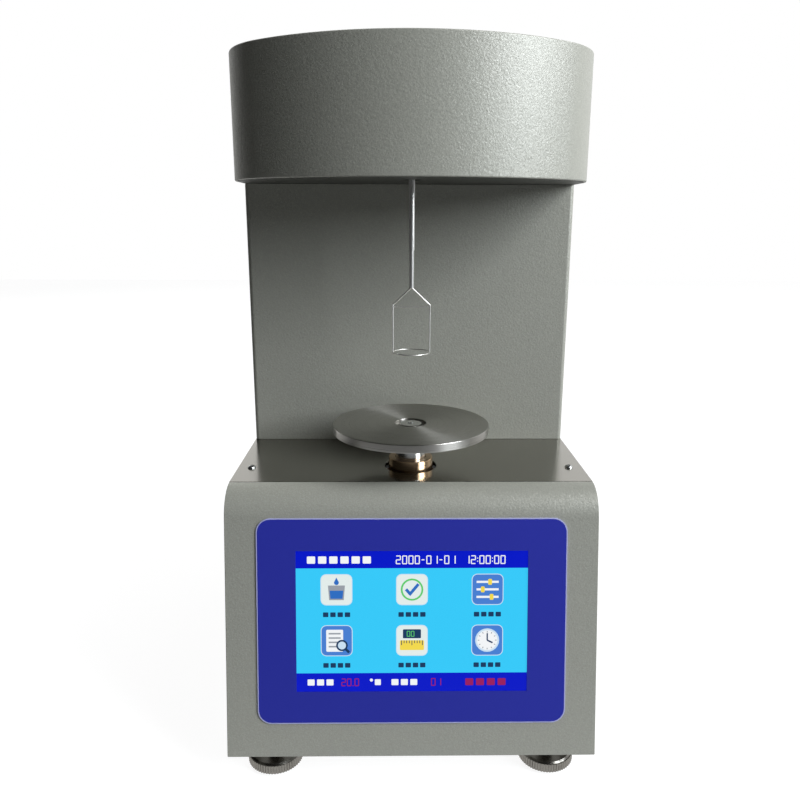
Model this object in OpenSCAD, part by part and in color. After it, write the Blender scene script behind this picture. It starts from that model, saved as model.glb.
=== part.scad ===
// Bench surface tensiometer: a tilted-front base with a screen, a column and an overhanging
// hood, from which a measuring ring hangs over a motor-driven round stage.
// Millimetres, +Z up, the operator looks along +Y. The origin is on the bench, under the
// middle of the instrument.

/* [Body] */
// Width of the base, the column and the hood
body_w = 185; // [170:1:205]
// Depth from the foot of the front panel to the back panels
body_d = 255; // [240:1:285]
// Thickness of the painted steel sheet
sheet_t = 1.5; // [1.2:0.1:2]

/* [Base] */
// Height of the base shell, from its lower edge to the deck
base_h = 133; // [130:1:150]
// Lean of the front panel, back from the vertical, in degrees
face_tilt = 9.8; // [6:0.2:13]
// Outer radius of the rolled edge between the front panel and the deck
roll_r = 15.8; // [12:0.2:18]
// Thickness of the stainless deck plate
deck_t = 2; // [1.5:0.1:2.5]
// Width of the ledges and lips that are folded inwards
ledge_w = 10; // [8:0.5:12]
// Diameter of the deck's clearance hole round the bush
deck_hole_d = 28; // [26.5:0.5:32]
// Distance of the two deck screws from the side of the base
deck_screw_inset = 7.4; // [5:0.2:9]
// Distance of the two deck screws in front of the stage axis
deck_screw_lead = 4.4; // [0:0.2:15]

/* [Front panel] */
// Width of the printed film on the front panel
film_w = 153.6; // [146:0.2:160]
// Height of the printed film
film_h = 104; // [98:0.5:106]
// Corner radius of the printed film
film_r = 7; // [3:0.5:12]
// Thickness of the printed film
film_t = 0.6; // [0.3:0.1:1.2]
// Distance from the deck plane down the panel to the film's centre
film_s = 65.5; // [63:0.5:68]
// Width of the film's window
window_w = 115; // [100:0.5:122]
// Height of the film's window
window_h = 71.5; // [60:0.5:78]
// How far the touch glass runs under the film on each side
glass_lap = 2; // [1:0.5:4]
// Thickness of the touch glass
glass_t = 2; // [1.6:0.1:3]
// Thickness of the display module behind the glass
lcd_t = 7; // [5:0.5:9]

/* [Column and hood] */
// Distance from the stage axis back to the column
throat_d = 48.6; // [46:0.2:60]
// Clear height between the deck and the underside of the hood
work_gap = 148.5; // [144:0.5:175]
// Height of the hood
hood_h = 62; // [56:0.5:80]
// Distance from the stage axis forward to the front of the hood
hood_over = 32.3; // [28:0.2:40]
// Radius of the hood's front
hood_r = 125; // [118:1:140]
// Radius of the hood's two front corners
hood_corner_r = 45; // [40:1:50]
// Outer radius of the column's two folded front edges
column_fold_r = 2.5; // [2.2:0.1:5]
// Thickness of the hood's floor plate
floor_t = 2; // [1.5:0.1:3]
// Diameter of the hole that the hanging rod passes through
rod_hole_d = 10; // [9:0.5:14]

/* [Stage] */
// Distance from the deck's front edge back to the stage axis
stage_setback = 26.25; // [25:0.25:32]
// Diameter of the stage
stage_d = 83; // [70:1:88]
// Thickness of the stage
stage_t = 4.2; // [3.4:0.1:6]
// Height of the stage's top face above the deck, at rest
stage_h = 23.9; // [22:0.1:27]
// Diameter of the recess in the middle of the stage
recess_d = 16.6; // [14:0.2:24]
// Depth of the recess
recess_depth = 2; // [1.8:0.1:2.4]
// Diameter of the lifting shaft
shaft_d = 16; // [15:0.5:17]
// Outer diameter of the brass guide bush
bush_d = 23.7; // [22:0.1:25]
// Height of the guide bush above the deck
bush_h = 5.3; // [3:0.1:6]
// How far the stage can be lowered from rest
travel_down = 12; // [8:0.5:12]
// How far the stage can be raised from rest
travel_up = 23; // [15:0.5:23]

/* [Ring and hanger] */
// Diameter of the measuring ring, to the middle of its wire
ring_d = 19.1; // [15:0.1:24]
// Diameter of the ring's wire
ring_wire_d = 0.6; // [0.4:0.1:1]
// Diameter of the stirrup's wire
stirrup_wire_d = 0.8; // [0.6:0.1:1.2]
// Height of the ring's plane above the deck
ring_h = 62; // [58:0.5:66]
// Height of the stirrup, from the ring's plane to its shoulders
stirrup_h = 24.6; // [18:0.2:28]
// Rise of the stirrup's sloping arms, from the shoulders to the stem
arm_rise = 8.9; // [6:0.1:9]
// Diameter of the ring's stem
stem_d = 2.5; // [2.2:0.1:2.9]
// Visible length of the ring's stem
stem_l = 18.8; // [14:0.2:24]
// Diameter of the hanging rod
rod_d = 3; // [2.6:0.1:3.6]

/* [Feet] */
// Clear height under the base shell
foot_gap = 16.5; // [15:0.5:22]
// Diameter of the knurled foot wheel
wheel_d = 28.6; // [24:0.1:34]
// Thickness of the foot wheel
wheel_t = 6.1; // [5:0.1:7]
// Diameter of the foot's threaded stud
stud_d = 8; // [7:0.5:9]
// Thickness of the foot's pad
pad_t = 1; // [0.8:0.1:2.5]
// Distance of the feet in from the sides of the base
foot_side = 21; // [19.5:0.5:32]
// Distance of the front feet behind the foot of the front panel
foot_front = 19.4; // [17:0.2:24]
// Distance of the back feet in front of the back panel
foot_back = 22; // [18:0.5:26]

/* [Back panel] */
// How far the serial port stands out of the back panel
port_proud = 5; // [4.5:0.1:6]
// Height of the sockets and the switch above the base shell's lower edge
socket_h = 46; // [40:1:70]
// Depth of the mains inlet's recess
inlet_depth = 15; // [12:0.5:18]
// Width of the mains inlet's recess
inlet_w = 24.4; // [24:0.1:26]
// Height of the mains inlet's recess
inlet_h = 16.8; // [16:0.1:18]
// Tilt of the power switch's rocker either side of level, in degrees
rocker_tilt = 8; // [5:0.5:10]

/* [Fits] */
// Radial clearance of a shaft or pin that runs in its hole
run_gap = 0.05; // [0.03:0.01:0.08]
// Clearance of a piece that is fixed in its hole
seat_gap = 0.02; // [0.01:0.01:0.05]
// Clearance round panels, glass and plates
panel_gap = 0.3; // [0.2:0.05:0.5]

/* [Hidden] */
$fn = 64;

cut = 1;                            // how far a cutter runs past the face that it cuts

// Places of the main faces and axes
y_front = -(body_d + port_proud) / 2;
y_back = y_front + body_d;
z_shell = foot_gap;
deck_z = z_shell + base_h;
hood_z = deck_z + work_gap;
side_x = body_w / 2;
inner_x = side_x - sheet_t;
roll_c = [face_y(deck_z - roll_r, roll_r), deck_z - roll_r];
seam_y = roll_c[0];
axis_y = seam_y + stage_setback;
column_y = axis_y + throat_d;
hood_y = axis_y - hood_over;
pan_z = z_shell + sheet_t;
pan_top = pan_z + sheet_t;
cover_y = y_back - sheet_t;         // inner face of the two back panels
front_ledge = 4.5;                  // ledge under the deck's front edge
panel_flange = 14;                  // flanges behind the back cover's screws
cable_hole_d = 30;
cable_hole_back = 60;
cable_hole_y = column_y + cable_hole_back;

// Screws of the panels: their shank, head and clearance hole
screw3_d = 3;
screw3_hole_d = screw3_d + 0.2;
panel_head_d = 5.4;
panel_head_h = 1.8;
deck_head_d = 4.4;
deck_head_h = 1.5;
pan_screw_d = 2.5;
pan_head_d = 5;
pan_head_h = 1.6;
thread_l = 3;                       // thread beyond the sheets that a screw joins
rear_screw_low = 9;
rear_screw_top = 12;
cover_screw_in = 10;
rear_screw_z = [z_shell + rear_screw_low, deck_z - rear_screw_top];
cover_screw_z = [deck_z + cover_screw_in, hood_z - cover_screw_in];
lip_screw_front = 45;
lip_screw_back = 40;
lip_screw_y = [y_front + lip_screw_front, (y_front + y_back) / 2, y_back - lip_screw_back];

// Air slots of the back panel, the column's cover and the pan
slot_w = 3;
slot_pitch = 8;
slot_l = 26;
slot_drop = 35;                     // middle of the slots under the deck
cover_slot_drop = 45;               // and of the cover's slots under the hood
cover_slot_l = 34;
slot_rows = [-7 : 7];
cover_slot_rows = [-6 : 6];
pan_slot_w = 4;
pan_slot_pitch = 12;
pan_slot_l = 40;
pan_slot_rows = [-5 : 5];

// Hood outline: one wide front arc, two corner arcs tangent to it and to the sides
hood_cy = hood_y + hood_r;
hood_cx = side_x - hood_corner_r;
hood_corner_y = hood_cy - sqrt(pow(hood_r - hood_corner_r, 2) - pow(hood_cx, 2));

// Display behind the glass: a module clamped by two straps on posts
lcd_rim = 2;
lcd_board_t = 5;
strap_t = 2;
strap_w = 12;
post_d = 7;
lcd_back = max(glass_t, sheet_t) + lcd_t;
post_x = window_w / 2 + glass_lap + lcd_rim + 5;
post_s = window_h / 2 + glass_lap - 10;

// Power supply and boards, with the room that they keep from their neighbours
psu_w = 96;
psu_d = 80;
psu_h = 30;
psu_wall = 2;
board_t = 1.6;
board_post_d = 6;
board_inset = 5;
board_gap = 6;
edge_gap = ledge_w / 2 + pan_screw_d;   // clear of the screws through the side lips
chip_w = 20;
chip_t = 1.8;
plug_w = 9;
plug_l = 50;
can_d = 8;
can_h = 11;
limit_w = 12;
limit_d = 6;
limit_over = 6;                     // how far a limit switch reaches past the carriage's end
main_w = 2 * (inner_x - edge_gap) - psu_w - board_gap;
main_d = 96;
main_lift = 7;
amp_w = 48;
amp_d = 64;
amp_lift = 6;
amp_can_w = 30;
amp_can_d = 22;
amp_can_h = 6;
amp_chip_d = 12;

// Foot: the wheel with its stud turns in a nut that is welded to the pan
nut_af = stud_d + 5;
nut_t = 6.5;
stud_in = 14.5;                     // stud above the pan
stud_top = pan_top + stud_in;
pad_d = wheel_d - 6;
knurl_n = 60;
knurl_depth = 0.45;
rim_t = 0.8;
pad_spigot_d = 6;
pad_spigot_t = 2.5;
pad_play = 0.1;
foot_x = side_x - foot_side;
foot_yf = y_front + foot_front;
foot_yb = y_back - foot_back;
psu_y = foot_yb - nut_af / 2 - board_gap - psu_d;

// Lifting gear, from the pan upwards
plate_w = 76;
plate_d = 48;
motor_lift = 37;                    // room under the plate for the motor that hangs from it
motor_plate_z = pan_top + motor_lift;
motor_plate_t = 4;
motor_w = 42.3;
motor_h = 33.5;
motor_boss_d = 22;
motor_boss_t = 2;
motor_shaft_d = 5;
motor_shaft_up = 20;
screw_d = 8;
coupling_d = 19;
coupling_h = 18;
coupling_z = motor_plate_z + motor_plate_t + 2;
pillar_d = 8;
pillar_x = 33;
pillar_y = 16;
guide_x = 26;
guide_d = 8;
guide_seat = 2;
top_plate_t = 6;
bush_flange_t = 3;
bush_flange_d = bush_d + 10;
top_plate_gap = 6.5;                // between the top plate and the deck
top_plate_z = deck_z - deck_t - top_plate_gap - top_plate_t;
carriage_t = 12;
carriage_w = 68;
carriage_d = 24;
nut_flange_t = 3;
nut_flange_d = 21;
lead_nut_d = 10.5;
carriage_z = coupling_z + coupling_h + travel_down + nut_flange_t + 1;
shaft_seat = 4;
stage_z = deck_z + stage_h;         // top face of the stage
stage_under = stage_z - stage_t;
spigot_d = 10;
screw_up = 22;                      // lead screw above the carriage
hollow_over = 5;                    // and the shaft's bore above the screw
screw_top = carriage_z + carriage_t + screw_up;
hollow_top = screw_top + travel_down + hollow_over;
stage_screw_d = 4;
stage_screw_l = 12;

// Weighing gear in the hood
cell_w = 12.7;
cell_l = 92;
cell_end = 7;                       // beam beyond the ring's axis
cell_lift = 18;
cell_z = hood_z + floor_t + cell_lift;
cell_y = axis_y - cell_end;
cell_hole_d = 9;
cell_hole_pitch = 18;
clevis_w = 9;
clevis_d = 8;
clevis_slot = 3;
clevis_web = 4.6;                   // solid top of the block, over the slot
clevis_screw = 3.4;                 // how far the screw enters the block
eye_t = 2.4;
eye_d = 7;
eye_gap = 0.5;                      // over the eye
clevis_h = clevis_web + eye_d + eye_gap - 0.4;
pin_d = 2;
pin_z = cell_z - clevis_web - eye_gap - eye_d / 2;
socket_d = 1.8;
socket_l = 8;
stop_gap = 0.4;
stop_d = 5;
stop_nut_af = 8;
cell_screw_d = 4;
cell_screw_head_d = 7;
cell_screw_in = 7;                  // how far the back screws enter the bracket
cell_screw_back = 6;
cell_screw_pitch = 10;
cell_screw_ys = [for (i = [1, 0]) cell_l - cell_screw_back - i * cell_screw_pitch];
cell_slit = 3;                      // slit that links the beam's two holes
bracket_w = 24;
bracket_d = 22;

// Ring and stirrup
ring_z = deck_z + ring_h;
shoulder_z = ring_z + stirrup_h;
stem_z = shoulder_z + arm_rise;
rod_z = stem_z + stem_l;            // lower end of the hanging rod
bar_drop = 1;

// Back panel
inlet_side = 40.5;                  // from the side of the base to the inlet
port_side = 52.5;                   // and to the serial port on the other side
switch_step = 38;                   // from the inlet to the switch
inlet_x = inlet_side - side_x;
switch_x = inlet_x + switch_step;
port_x = side_x - port_side;
socket_z = z_shell + socket_h;
inlet_flange_t = 3;
inlet_flange_r = 6;
inlet_wall = 2;
inlet_ear = 12;                     // flange beside the recess
inlet_lip = 4;                      // flange over and under the recess
inlet_key = 4;                      // cut-off corners that key the connector
inlet_screw_d = 3.4;
inlet_screw_x = inlet_w / 2 + 7.8;
inlet_pin_w = 2;
inlet_pin_h = 4;
inlet_pins_at = [[-7, 2], [7, 2], [0, -2]];
switch_w = 14;
switch_h = 21;
switch_wall = 1.2;
switch_depth = 14;
rocker_w = 9.4;
rocker_h = 15.6;
rocker_rise = 3.2;
rocker_well = 5.5;                  // room for the rocker behind the panel
rocker_belly = 2.4;
rocker_pivot_in = 3;                // pivot's depth behind the bezel's face
rocker_pin_d = 2;
rocker_pin_l = 0.9;
bezel_t = 2;
port_flange_w = 31;
port_flange_h = 12.5;
port_flange_t = 0.8;
port_shell_w = 16.8;
port_shell_h = 8;
port_depth = 9;
port_post_x = 12.5;
port_post_af = 5;

function face_y(z, inset = 0) =
    y_front + (z - z_shell) * tan(face_tilt) + inset / cos(face_tilt);

// Screw and nut pieces that repeat ------------------------------------------------------

// Pan-head screw, its head on top of z = 0 and its shank below
module pan_screw(head_d, head_h, shank_d, shank_l) {
    rotate_extrude()
        intersection() {
            translate([0, head_h - 1.4 * head_d / 2]) circle(1.4 * head_d / 2);
            square([head_d / 2, head_h]);
        }
    translate([0, 0, -shank_l]) cylinder(d = shank_d, h = shank_l);
}

module hex(across_flats, h) {
    cylinder(d = across_flats / cos(30), h = h, $fn = 6);
}

// Hole straight through whatever lies at z = 0
module through_hole(d) {
    reach = 10;
    translate([0, 0, -reach]) cylinder(d = d, h = 2 * reach);
}

// Row of air slots with round ends, upright in the plane of x and y
module slot_row(rows, pitch, w, l) {
    for (i = rows)
        translate([i * pitch, 0]) {
            square([w, l - w], center = true);
            for (s = [-1, 1]) translate([0, s * (l - w) / 2]) circle(d = w);
        }
}

module rounded_plate(w, d, r) {
    square([w - 2 * r, d], center = true);
    square([w, d - 2 * r], center = true);
    for (x = [-1, 1], y = [-1, 1])
        translate([x * (w / 2 - r), y * (d / 2 - r)]) circle(r);
}

// Profiles in side view, as [y, z], made solid across the width
module across(w) {
    translate([-w / 2, 0, 0]) rotate([90, 0, 90]) linear_extrude(w) children();
}

// Places a piece on the sloping front panel: x across, y up the panel, z out of it
module on_face(s) {
    translate([0, face_y(deck_z) - s * sin(face_tilt), deck_z - s * cos(face_tilt)])
        rotate([90 - face_tilt, 0, 0]) children();
}

// Places a piece on the back panel: x across as seen from the front, z out of the back
module on_back(x, z) {
    translate([x, y_back, z]) rotate([-90, 0, 0]) children();
}

// Base ----------------------------------------------------------------------------------

module base_profile(inset, below, behind) {
    r = roll_r - inset;
    polygon([
        [face_y(z_shell - below, inset), z_shell - below],
        roll_c + r * [-cos(face_tilt), sin(face_tilt)],
        [roll_c[0], deck_z - inset],
        [y_back + behind, deck_z - inset],
        [y_back + behind, z_shell - below]
    ]);
    translate(roll_c) circle(r);
}

module deck_screw_places() {
    for (s = [-1, 1])
        translate([s * (side_x - deck_screw_inset), axis_y - deck_screw_lead, deck_z])
            children();
}

module lip_screw_places() {
    for (s = [-1, 1], y = lip_screw_y)
        translate([s * (inner_x - ledge_w / 2), y, z_shell]) children();
}

// Front panel, rolled edge and both sides are one folded sheet, with lips under the base
// and ledges under the deck
module base_shell() {
    color([0.57, 0.58, 0.55]) {
        difference() {
            across(body_w) base_profile(0, 0, 0);
            across(body_w - 2 * sheet_t) base_profile(sheet_t, cut, cut);
            translate([-body_w, seam_y, deck_z - deck_t])
                cube([2 * body_w, body_d, deck_t + cut]);
            on_face(film_s) glass_hole();
        }
        difference() {
            union() {
                for (s = [-1, 1]) {
                    lip_x = s > 0 ? inner_x - ledge_w : -inner_x;
                    translate([lip_x, face_y(pan_z, sheet_t), z_shell])
                        cube([ledge_w, cover_y - face_y(pan_z, sheet_t), sheet_t]);
                    translate([lip_x, seam_y, deck_z - deck_t - sheet_t])
                        cube([ledge_w, cover_y - seam_y, sheet_t]);
                }
                translate([-inner_x, face_y(pan_z, sheet_t / 2), z_shell])
                    cube([2 * inner_x, ledge_w, sheet_t]);
                translate([-inner_x, seam_y - roll_r / 3, deck_z - deck_t - sheet_t])
                    cube([2 * inner_x, roll_r / 3 + front_ledge, sheet_t]);
                for (x = [-inner_x, inner_x - ledge_w])
                    translate([x, cover_y - sheet_t, pan_top])
                        cube([ledge_w, sheet_t, deck_z - deck_t - pan_top]);
            }
            rear_screw_places() through_hole(screw3_hole_d);
            deck_screw_places() through_hole(screw3_hole_d);
            lip_screw_places() translate([0, 0, -cut])
                cylinder(d = screw3_hole_d, h = sheet_t + 2 * cut);
        }
    }
}

module glass_hole() {
    w = window_w + 2 * glass_lap + 2 * panel_gap;
    h = window_h + 2 * glass_lap + 2 * panel_gap;
    translate([-w / 2, -h / 2, -2 * sheet_t]) cube([w, h, 4 * sheet_t]);
}

module foot_places() {
    for (s = [-1, 1], y = [foot_yf, foot_yb]) translate([s * foot_x, y, 0]) children();
}

module pillar_places() {
    for (sx = [-1, 1], sy = [-1, 1])
        translate([sx * pillar_x, axis_y + sy * pillar_y, 0]) children();
}

// Flat pan on the shell's lips, with air slots under the electronics
module base_pan() {
    front = face_y(pan_top, sheet_t);
    color([0.62, 0.63, 0.62])
        difference() {
            translate([-inner_x, front, pan_z])
                cube([2 * inner_x, cover_y - front, sheet_t]);
            foot_places() translate([0, 0, pan_z]) through_hole(stud_d + 2 * run_gap);
            lip_screw_places() through_hole(pan_screw_d + 2 * seat_gap);
            translate([0, psu_y + psu_d / 2, pan_z - cut])
                linear_extrude(sheet_t + 2 * cut)
                    slot_row(pan_slot_rows, pan_slot_pitch, pan_slot_w, pan_slot_l);
        }
}

module pan_screws() {
    color([0.75, 0.75, 0.76])
        lip_screw_places() rotate([180, 0, 0])
            pan_screw(pan_head_d, pan_head_h, pan_screw_d, 2 * sheet_t + thread_l);
}

// Stainless plate that closes the base and carries the column
module deck_plate() {
    color([0.66, 0.65, 0.63])
        difference() {
            translate([-side_x, seam_y, deck_z - deck_t])
                cube([body_w, y_back - seam_y, deck_t]);
            translate([0, axis_y, deck_z]) through_hole(deck_hole_d);
            translate([0, cable_hole_y, deck_z]) through_hole(cable_hole_d);
            deck_screw_places() through_hole(screw3_hole_d);
        }
}

module deck_screws() {
    color([0.8, 0.8, 0.8])
        deck_screw_places()
            pan_screw(deck_head_d, deck_head_h, screw3_d, deck_t + sheet_t + thread_l);
}

module front_film() {
    color([0.17, 0.2, 0.58])
        on_face(film_s)
            linear_extrude(film_t)
                difference() {
                    rounded_plate(film_w, film_h, film_r);
                    square([window_w, window_h], center = true);
                }
}

module touch_glass() {
    w = window_w + 2 * glass_lap;
    h = window_h + 2 * glass_lap;
    color([0.2, 0.8, 1])
        on_face(film_s) translate([-w / 2, -h / 2, -glass_t]) cube([w, h, glass_t]);
}

module display_module() {
    w = window_w + 2 * (glass_lap + lcd_rim);
    h = window_h + 2 * (glass_lap + lcd_rim);
    color([0.7, 0.71, 0.72])
        on_face(film_s)
            translate([0, 0, -lcd_back]) {
                translate([-w / 2, -h / 2, 0]) cube([w, h, lcd_t]);
                translate([-w / 4, -h / 4, -lcd_board_t])
                    cube([w / 2, h / 2, lcd_board_t]);
            }
}

// Two straps on posts that clamp the display module to the front panel
module display_straps() {
    strap_l = 2 * post_x + strap_w;
    color([0.6, 0.61, 0.6])
        on_face(film_s)
            for (sy = [-1, 1]) {
                for (sx = [-1, 1])
                    translate([sx * post_x, sy * post_s, -lcd_back])
                        cylinder(d = post_d, h = lcd_back - sheet_t);
                translate([-strap_l / 2, sy * post_s - strap_w / 2, -lcd_back - strap_t])
                    cube([strap_l, strap_w, strap_t]);
            }
}

// Feet ----------------------------------------------------------------------------------

module foot_nuts() {
    color([0.72, 0.72, 0.74])
        foot_places() translate([0, 0, pan_top])
            difference() {
                hex(nut_af, nut_t);
                translate([0, 0, -cut])
                    cylinder(d = stud_d + 2 * run_gap, h = nut_t + 2 * cut);
            }
}

// Straight-knurled wheel with its stud: plain rims above and below the knurled band
module foot_wheel(x, y) {
    r = wheel_d / 2;
    z0 = pad_t + pad_play;
    color([0.62, 0.61, 0.6])
        translate([x, y, 0])
            difference() {
                union() {
                    translate([0, 0, z0 + rim_t])
                        linear_extrude(wheel_t - 2 * rim_t)
                            polygon([for (i = [0 : 2 * knurl_n - 1])
                                (r - (i % 2) * knurl_depth)
                                * [cos(180 * i / knurl_n), sin(180 * i / knurl_n)]]);
                    translate([0, 0, z0])
                        cylinder(r1 = r - 2 * rim_t, r2 = r - rim_t, h = rim_t);
                    translate([0, 0, z0 + wheel_t - rim_t])
                        cylinder(r1 = r - rim_t, r2 = r - 2 * rim_t, h = rim_t);
                    translate([0, 0, z0 + wheel_t / 2])
                        cylinder(d = stud_d, h = stud_top - z0 - wheel_t / 2);
                }
                translate([0, 0, z0 - cut])
                    cylinder(d = pad_spigot_d + 2 * run_gap,
                             h = pad_spigot_t + pad_play + cut);
            }
}

module foot_pad(x, y) {
    color([0.15, 0.15, 0.15])
        translate([x, y, 0]) {
            cylinder(d = pad_d, h = pad_t);
            translate([0, 0, pad_t - seat_gap])
                cylinder(d = pad_spigot_d, h = pad_spigot_t);
        }
}

// Back panel ----------------------------------------------------------------------------

module rear_screw_places() {
    for (s = [-1, 1], z = rear_screw_z)
        on_back(s * (inner_x - ledge_w / 2), z) children();
}

module inlet_body_outline(grow) {
    square([inlet_w + 2 * (inlet_wall + grow), inlet_h + 2 * (inlet_wall + grow)],
           center = true);
}

module switch_body_outline(grow) {
    square([switch_w - 2 * switch_wall + 2 * grow, switch_h - 2 * switch_wall + 2 * grow],
           center = true);
}

module port_body_outline(grow) {
    square([port_shell_w + 2 * grow, port_shell_h + 2 * grow], center = true);
}

module rear_panel() {
    reach = 3 * sheet_t;
    color([0.57, 0.58, 0.55])
        difference() {
            translate([-inner_x, cover_y, z_shell])
                cube([2 * inner_x, sheet_t, base_h - deck_t]);
            on_back(inlet_x, socket_z) translate([0, 0, -reach])
                linear_extrude(2 * reach) inlet_body_outline(panel_gap / 2);
            on_back(switch_x, socket_z) translate([0, 0, -reach])
                linear_extrude(2 * reach) switch_body_outline(panel_gap / 2);
            on_back(port_x, socket_z) translate([0, 0, -reach])
                linear_extrude(2 * reach) port_body_outline(panel_gap / 2);
            for (s = [-1, 1])
                on_back(port_x + s * port_post_x, socket_z) through_hole(screw3_hole_d);
            on_back(0, deck_z - slot_drop) translate([0, 0, -reach])
                linear_extrude(2 * reach) slot_row(slot_rows, slot_pitch, slot_w, slot_l);
            rear_screw_places() through_hole(screw3_hole_d);
        }
}

module rear_screws() {
    color([0.25, 0.25, 0.26])
        rear_screw_places()
            pan_screw(panel_head_d, panel_head_h, screw3_d, 2 * sheet_t + thread_l);
}

module inlet_opening() {
    w = inlet_w / 2;
    h = inlet_h / 2;
    polygon([[-w, -h], [w, -h], [w, h - inlet_key], [w - inlet_key, h],
             [-w + inlet_key, h], [-w, h - inlet_key]]);
}

// Mains inlet: flanged moulding with a recess for the mains connector
module power_inlet() {
    color([0.12, 0.12, 0.12])
        on_back(inlet_x, socket_z)
            difference() {
                union() {
                    linear_extrude(inlet_flange_t)
                        rounded_plate(inlet_w + 2 * inlet_ear, inlet_h + 2 * inlet_lip,
                                      inlet_flange_r);
                    translate([0, 0, -inlet_depth])
                        linear_extrude(inlet_depth) inlet_body_outline(0);
                }
                translate([0, 0, inlet_flange_t - inlet_depth])
                    linear_extrude(inlet_depth + cut) inlet_opening();
                for (s = [-1, 1])
                    translate([s * inlet_screw_x, 0, -cut])
                        cylinder(d = inlet_screw_d, h = inlet_flange_t + 2 * cut);
            }
}

module inlet_pins() {
    color([0.78, 0.76, 0.7])
        on_back(inlet_x, socket_z)
            for (p = inlet_pins_at)
                translate([p[0] - inlet_pin_w / 2, p[1] - inlet_pin_h / 2,
                           inlet_flange_t - inlet_depth])
                    cube([inlet_pin_w, inlet_pin_h, inlet_depth - inlet_flange_t]);
}

module switch_housing() {
    well_w = rocker_w + 2 * panel_gap;
    well_h = rocker_h + 2 * panel_gap;
    pin_l = rocker_w + 2 * rocker_pin_l + 0.4;
    color([0.1, 0.1, 0.1])
        on_back(switch_x, socket_z)
            difference() {
                union() {
                    linear_extrude(bezel_t) square([switch_w, switch_h], center = true);
                    translate([0, 0, -switch_depth])
                        linear_extrude(switch_depth) switch_body_outline(0);
                }
                translate([-well_w / 2, -well_h / 2, -rocker_well])
                    cube([well_w, well_h, rocker_well + bezel_t + cut]);
                translate([-pin_l / 2, 0, bezel_t - rocker_pivot_in])
                    rotate([0, 90, 0]) cylinder(d = rocker_pin_d + 2 * run_gap, h = pin_l);
            }
}

// Rocker with a shallow V face, resting with its lower half pressed in
module switch_rocker() {
    h = rocker_h / 2;
    edge = rocker_rise + h * tan(rocker_tilt);
    pin_l = rocker_w + 2 * rocker_pin_l;
    color([0.07, 0.07, 0.07])
        on_back(switch_x, socket_z)
            translate([0, 0, bezel_t - rocker_pivot_in])
                rotate([-rocker_tilt, 0, 0]) {
                    translate([-rocker_w / 2, 0, 0])
                        rotate([90, 0, 90])
                            linear_extrude(rocker_w)
                                polygon([
                                    [-h + 1, edge], [0, rocker_rise], [h - 1, edge],
                                    [h - 0.6, 0], [2, -rocker_belly],
                                    [-2, -rocker_belly], [-h + 0.6, 0]
                                ]);
                    translate([-pin_l / 2, 0, 0])
                        rotate([0, 90, 0]) cylinder(d = rocker_pin_d, h = pin_l);
                }
}

// Nine-way serial socket: flange, D-shaped shell with its insert, and two hex posts
module serial_port() {
    w = port_shell_w / 2;
    h = port_shell_h / 2;
    slope = 1;
    color([0.72, 0.72, 0.7])
        on_back(port_x, socket_z) {
            difference() {
                linear_extrude(port_flange_t)
                    rounded_plate(port_flange_w, port_flange_h, 2);
                for (s = [-1, 1])
                    translate([s * port_post_x, 0, -cut])
                        cylinder(d = screw3_hole_d, h = port_flange_t + 2 * cut);
            }
            linear_extrude(port_proud)
                polygon([[-w, h], [-w + slope, -h], [w - slope, -h], [w, h]]);
            translate([0, 0, -port_depth]) linear_extrude(port_depth) port_body_outline(0);
            for (s = [-1, 1])
                translate([s * port_post_x, 0, 0]) {
                    translate([0, 0, port_flange_t])
                        hex(port_post_af, port_proud - port_flange_t);
                    translate([0, 0, -sheet_t - thread_l])
                        cylinder(d = screw3_d, h = sheet_t + thread_l + port_flange_t);
                }
        }
}

// Electronics in the base ---------------------------------------------------------------

module power_supply() {
    terminal_w = 14;
    terminal_h = 16;
    groove = 4;
    color([0.7, 0.71, 0.72])
        translate([-inner_x + edge_gap, psu_y, pan_top])
            difference() {
                cube([psu_w, psu_d, psu_h]);
                translate([psu_w - terminal_w, psu_wall, psu_h - terminal_h])
                    cube([terminal_w + cut, psu_d - 2 * psu_wall, terminal_h + cut]);
                for (i = [1 : 6])
                    translate([psu_w * (i + 1) / 10, psu_d * 0.15, psu_h - psu_wall])
                        cube([groove, psu_d * 0.7, psu_wall + cut]);
            }
}

module control_board() {
    top = main_lift + board_t;
    color([0.1, 0.4, 0.2])
        translate([inner_x - main_w - edge_gap, column_y + board_gap, pan_top]) {
            board(main_w, main_d, main_lift);
            translate([main_w * 0.35, main_d * 0.37, top]) cube([chip_w, chip_w, chip_t]);
            translate([main_w * 0.1, main_d * 0.2, top]) cube([plug_w, plug_l, plug_w]);
            for (i = [0 : 3])
                translate([main_w * 0.82, main_d * (0.23 + 0.15 * i), top])
                    cylinder(d = can_d, h = can_h);
        }
}

// Circuit board on four posts, its corner at the origin
module board(w, d, lift) {
    for (x = [board_inset, w - board_inset], y = [board_inset, d - board_inset])
        translate([x, y, 0]) cylinder(d = board_post_d, h = lift);
    translate([0, 0, lift]) cube([w, d, board_t]);
}

// Lifting gear --------------------------------------------------------------------------

module lift_pillars() {
    color([0.75, 0.75, 0.76])
        pillar_places() translate([0, 0, pan_top])
            cylinder(d = pillar_d, h = motor_plate_z - pan_top);
}

module motor_plate() {
    color([0.72, 0.73, 0.74])
        translate([0, axis_y, motor_plate_z])
            difference() {
                linear_extrude(motor_plate_t) rounded_plate(plate_w, plate_d, 4);
                translate([0, 0, -cut])
                    cylinder(d = motor_boss_d + 2 * seat_gap, h = motor_plate_t + 2 * cut);
                for (s = [-1, 1])
                    translate([s * guide_x, 0, motor_plate_t - guide_seat])
                        cylinder(d = guide_d + 2 * seat_gap, h = guide_seat + cut);
            }
}

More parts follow.
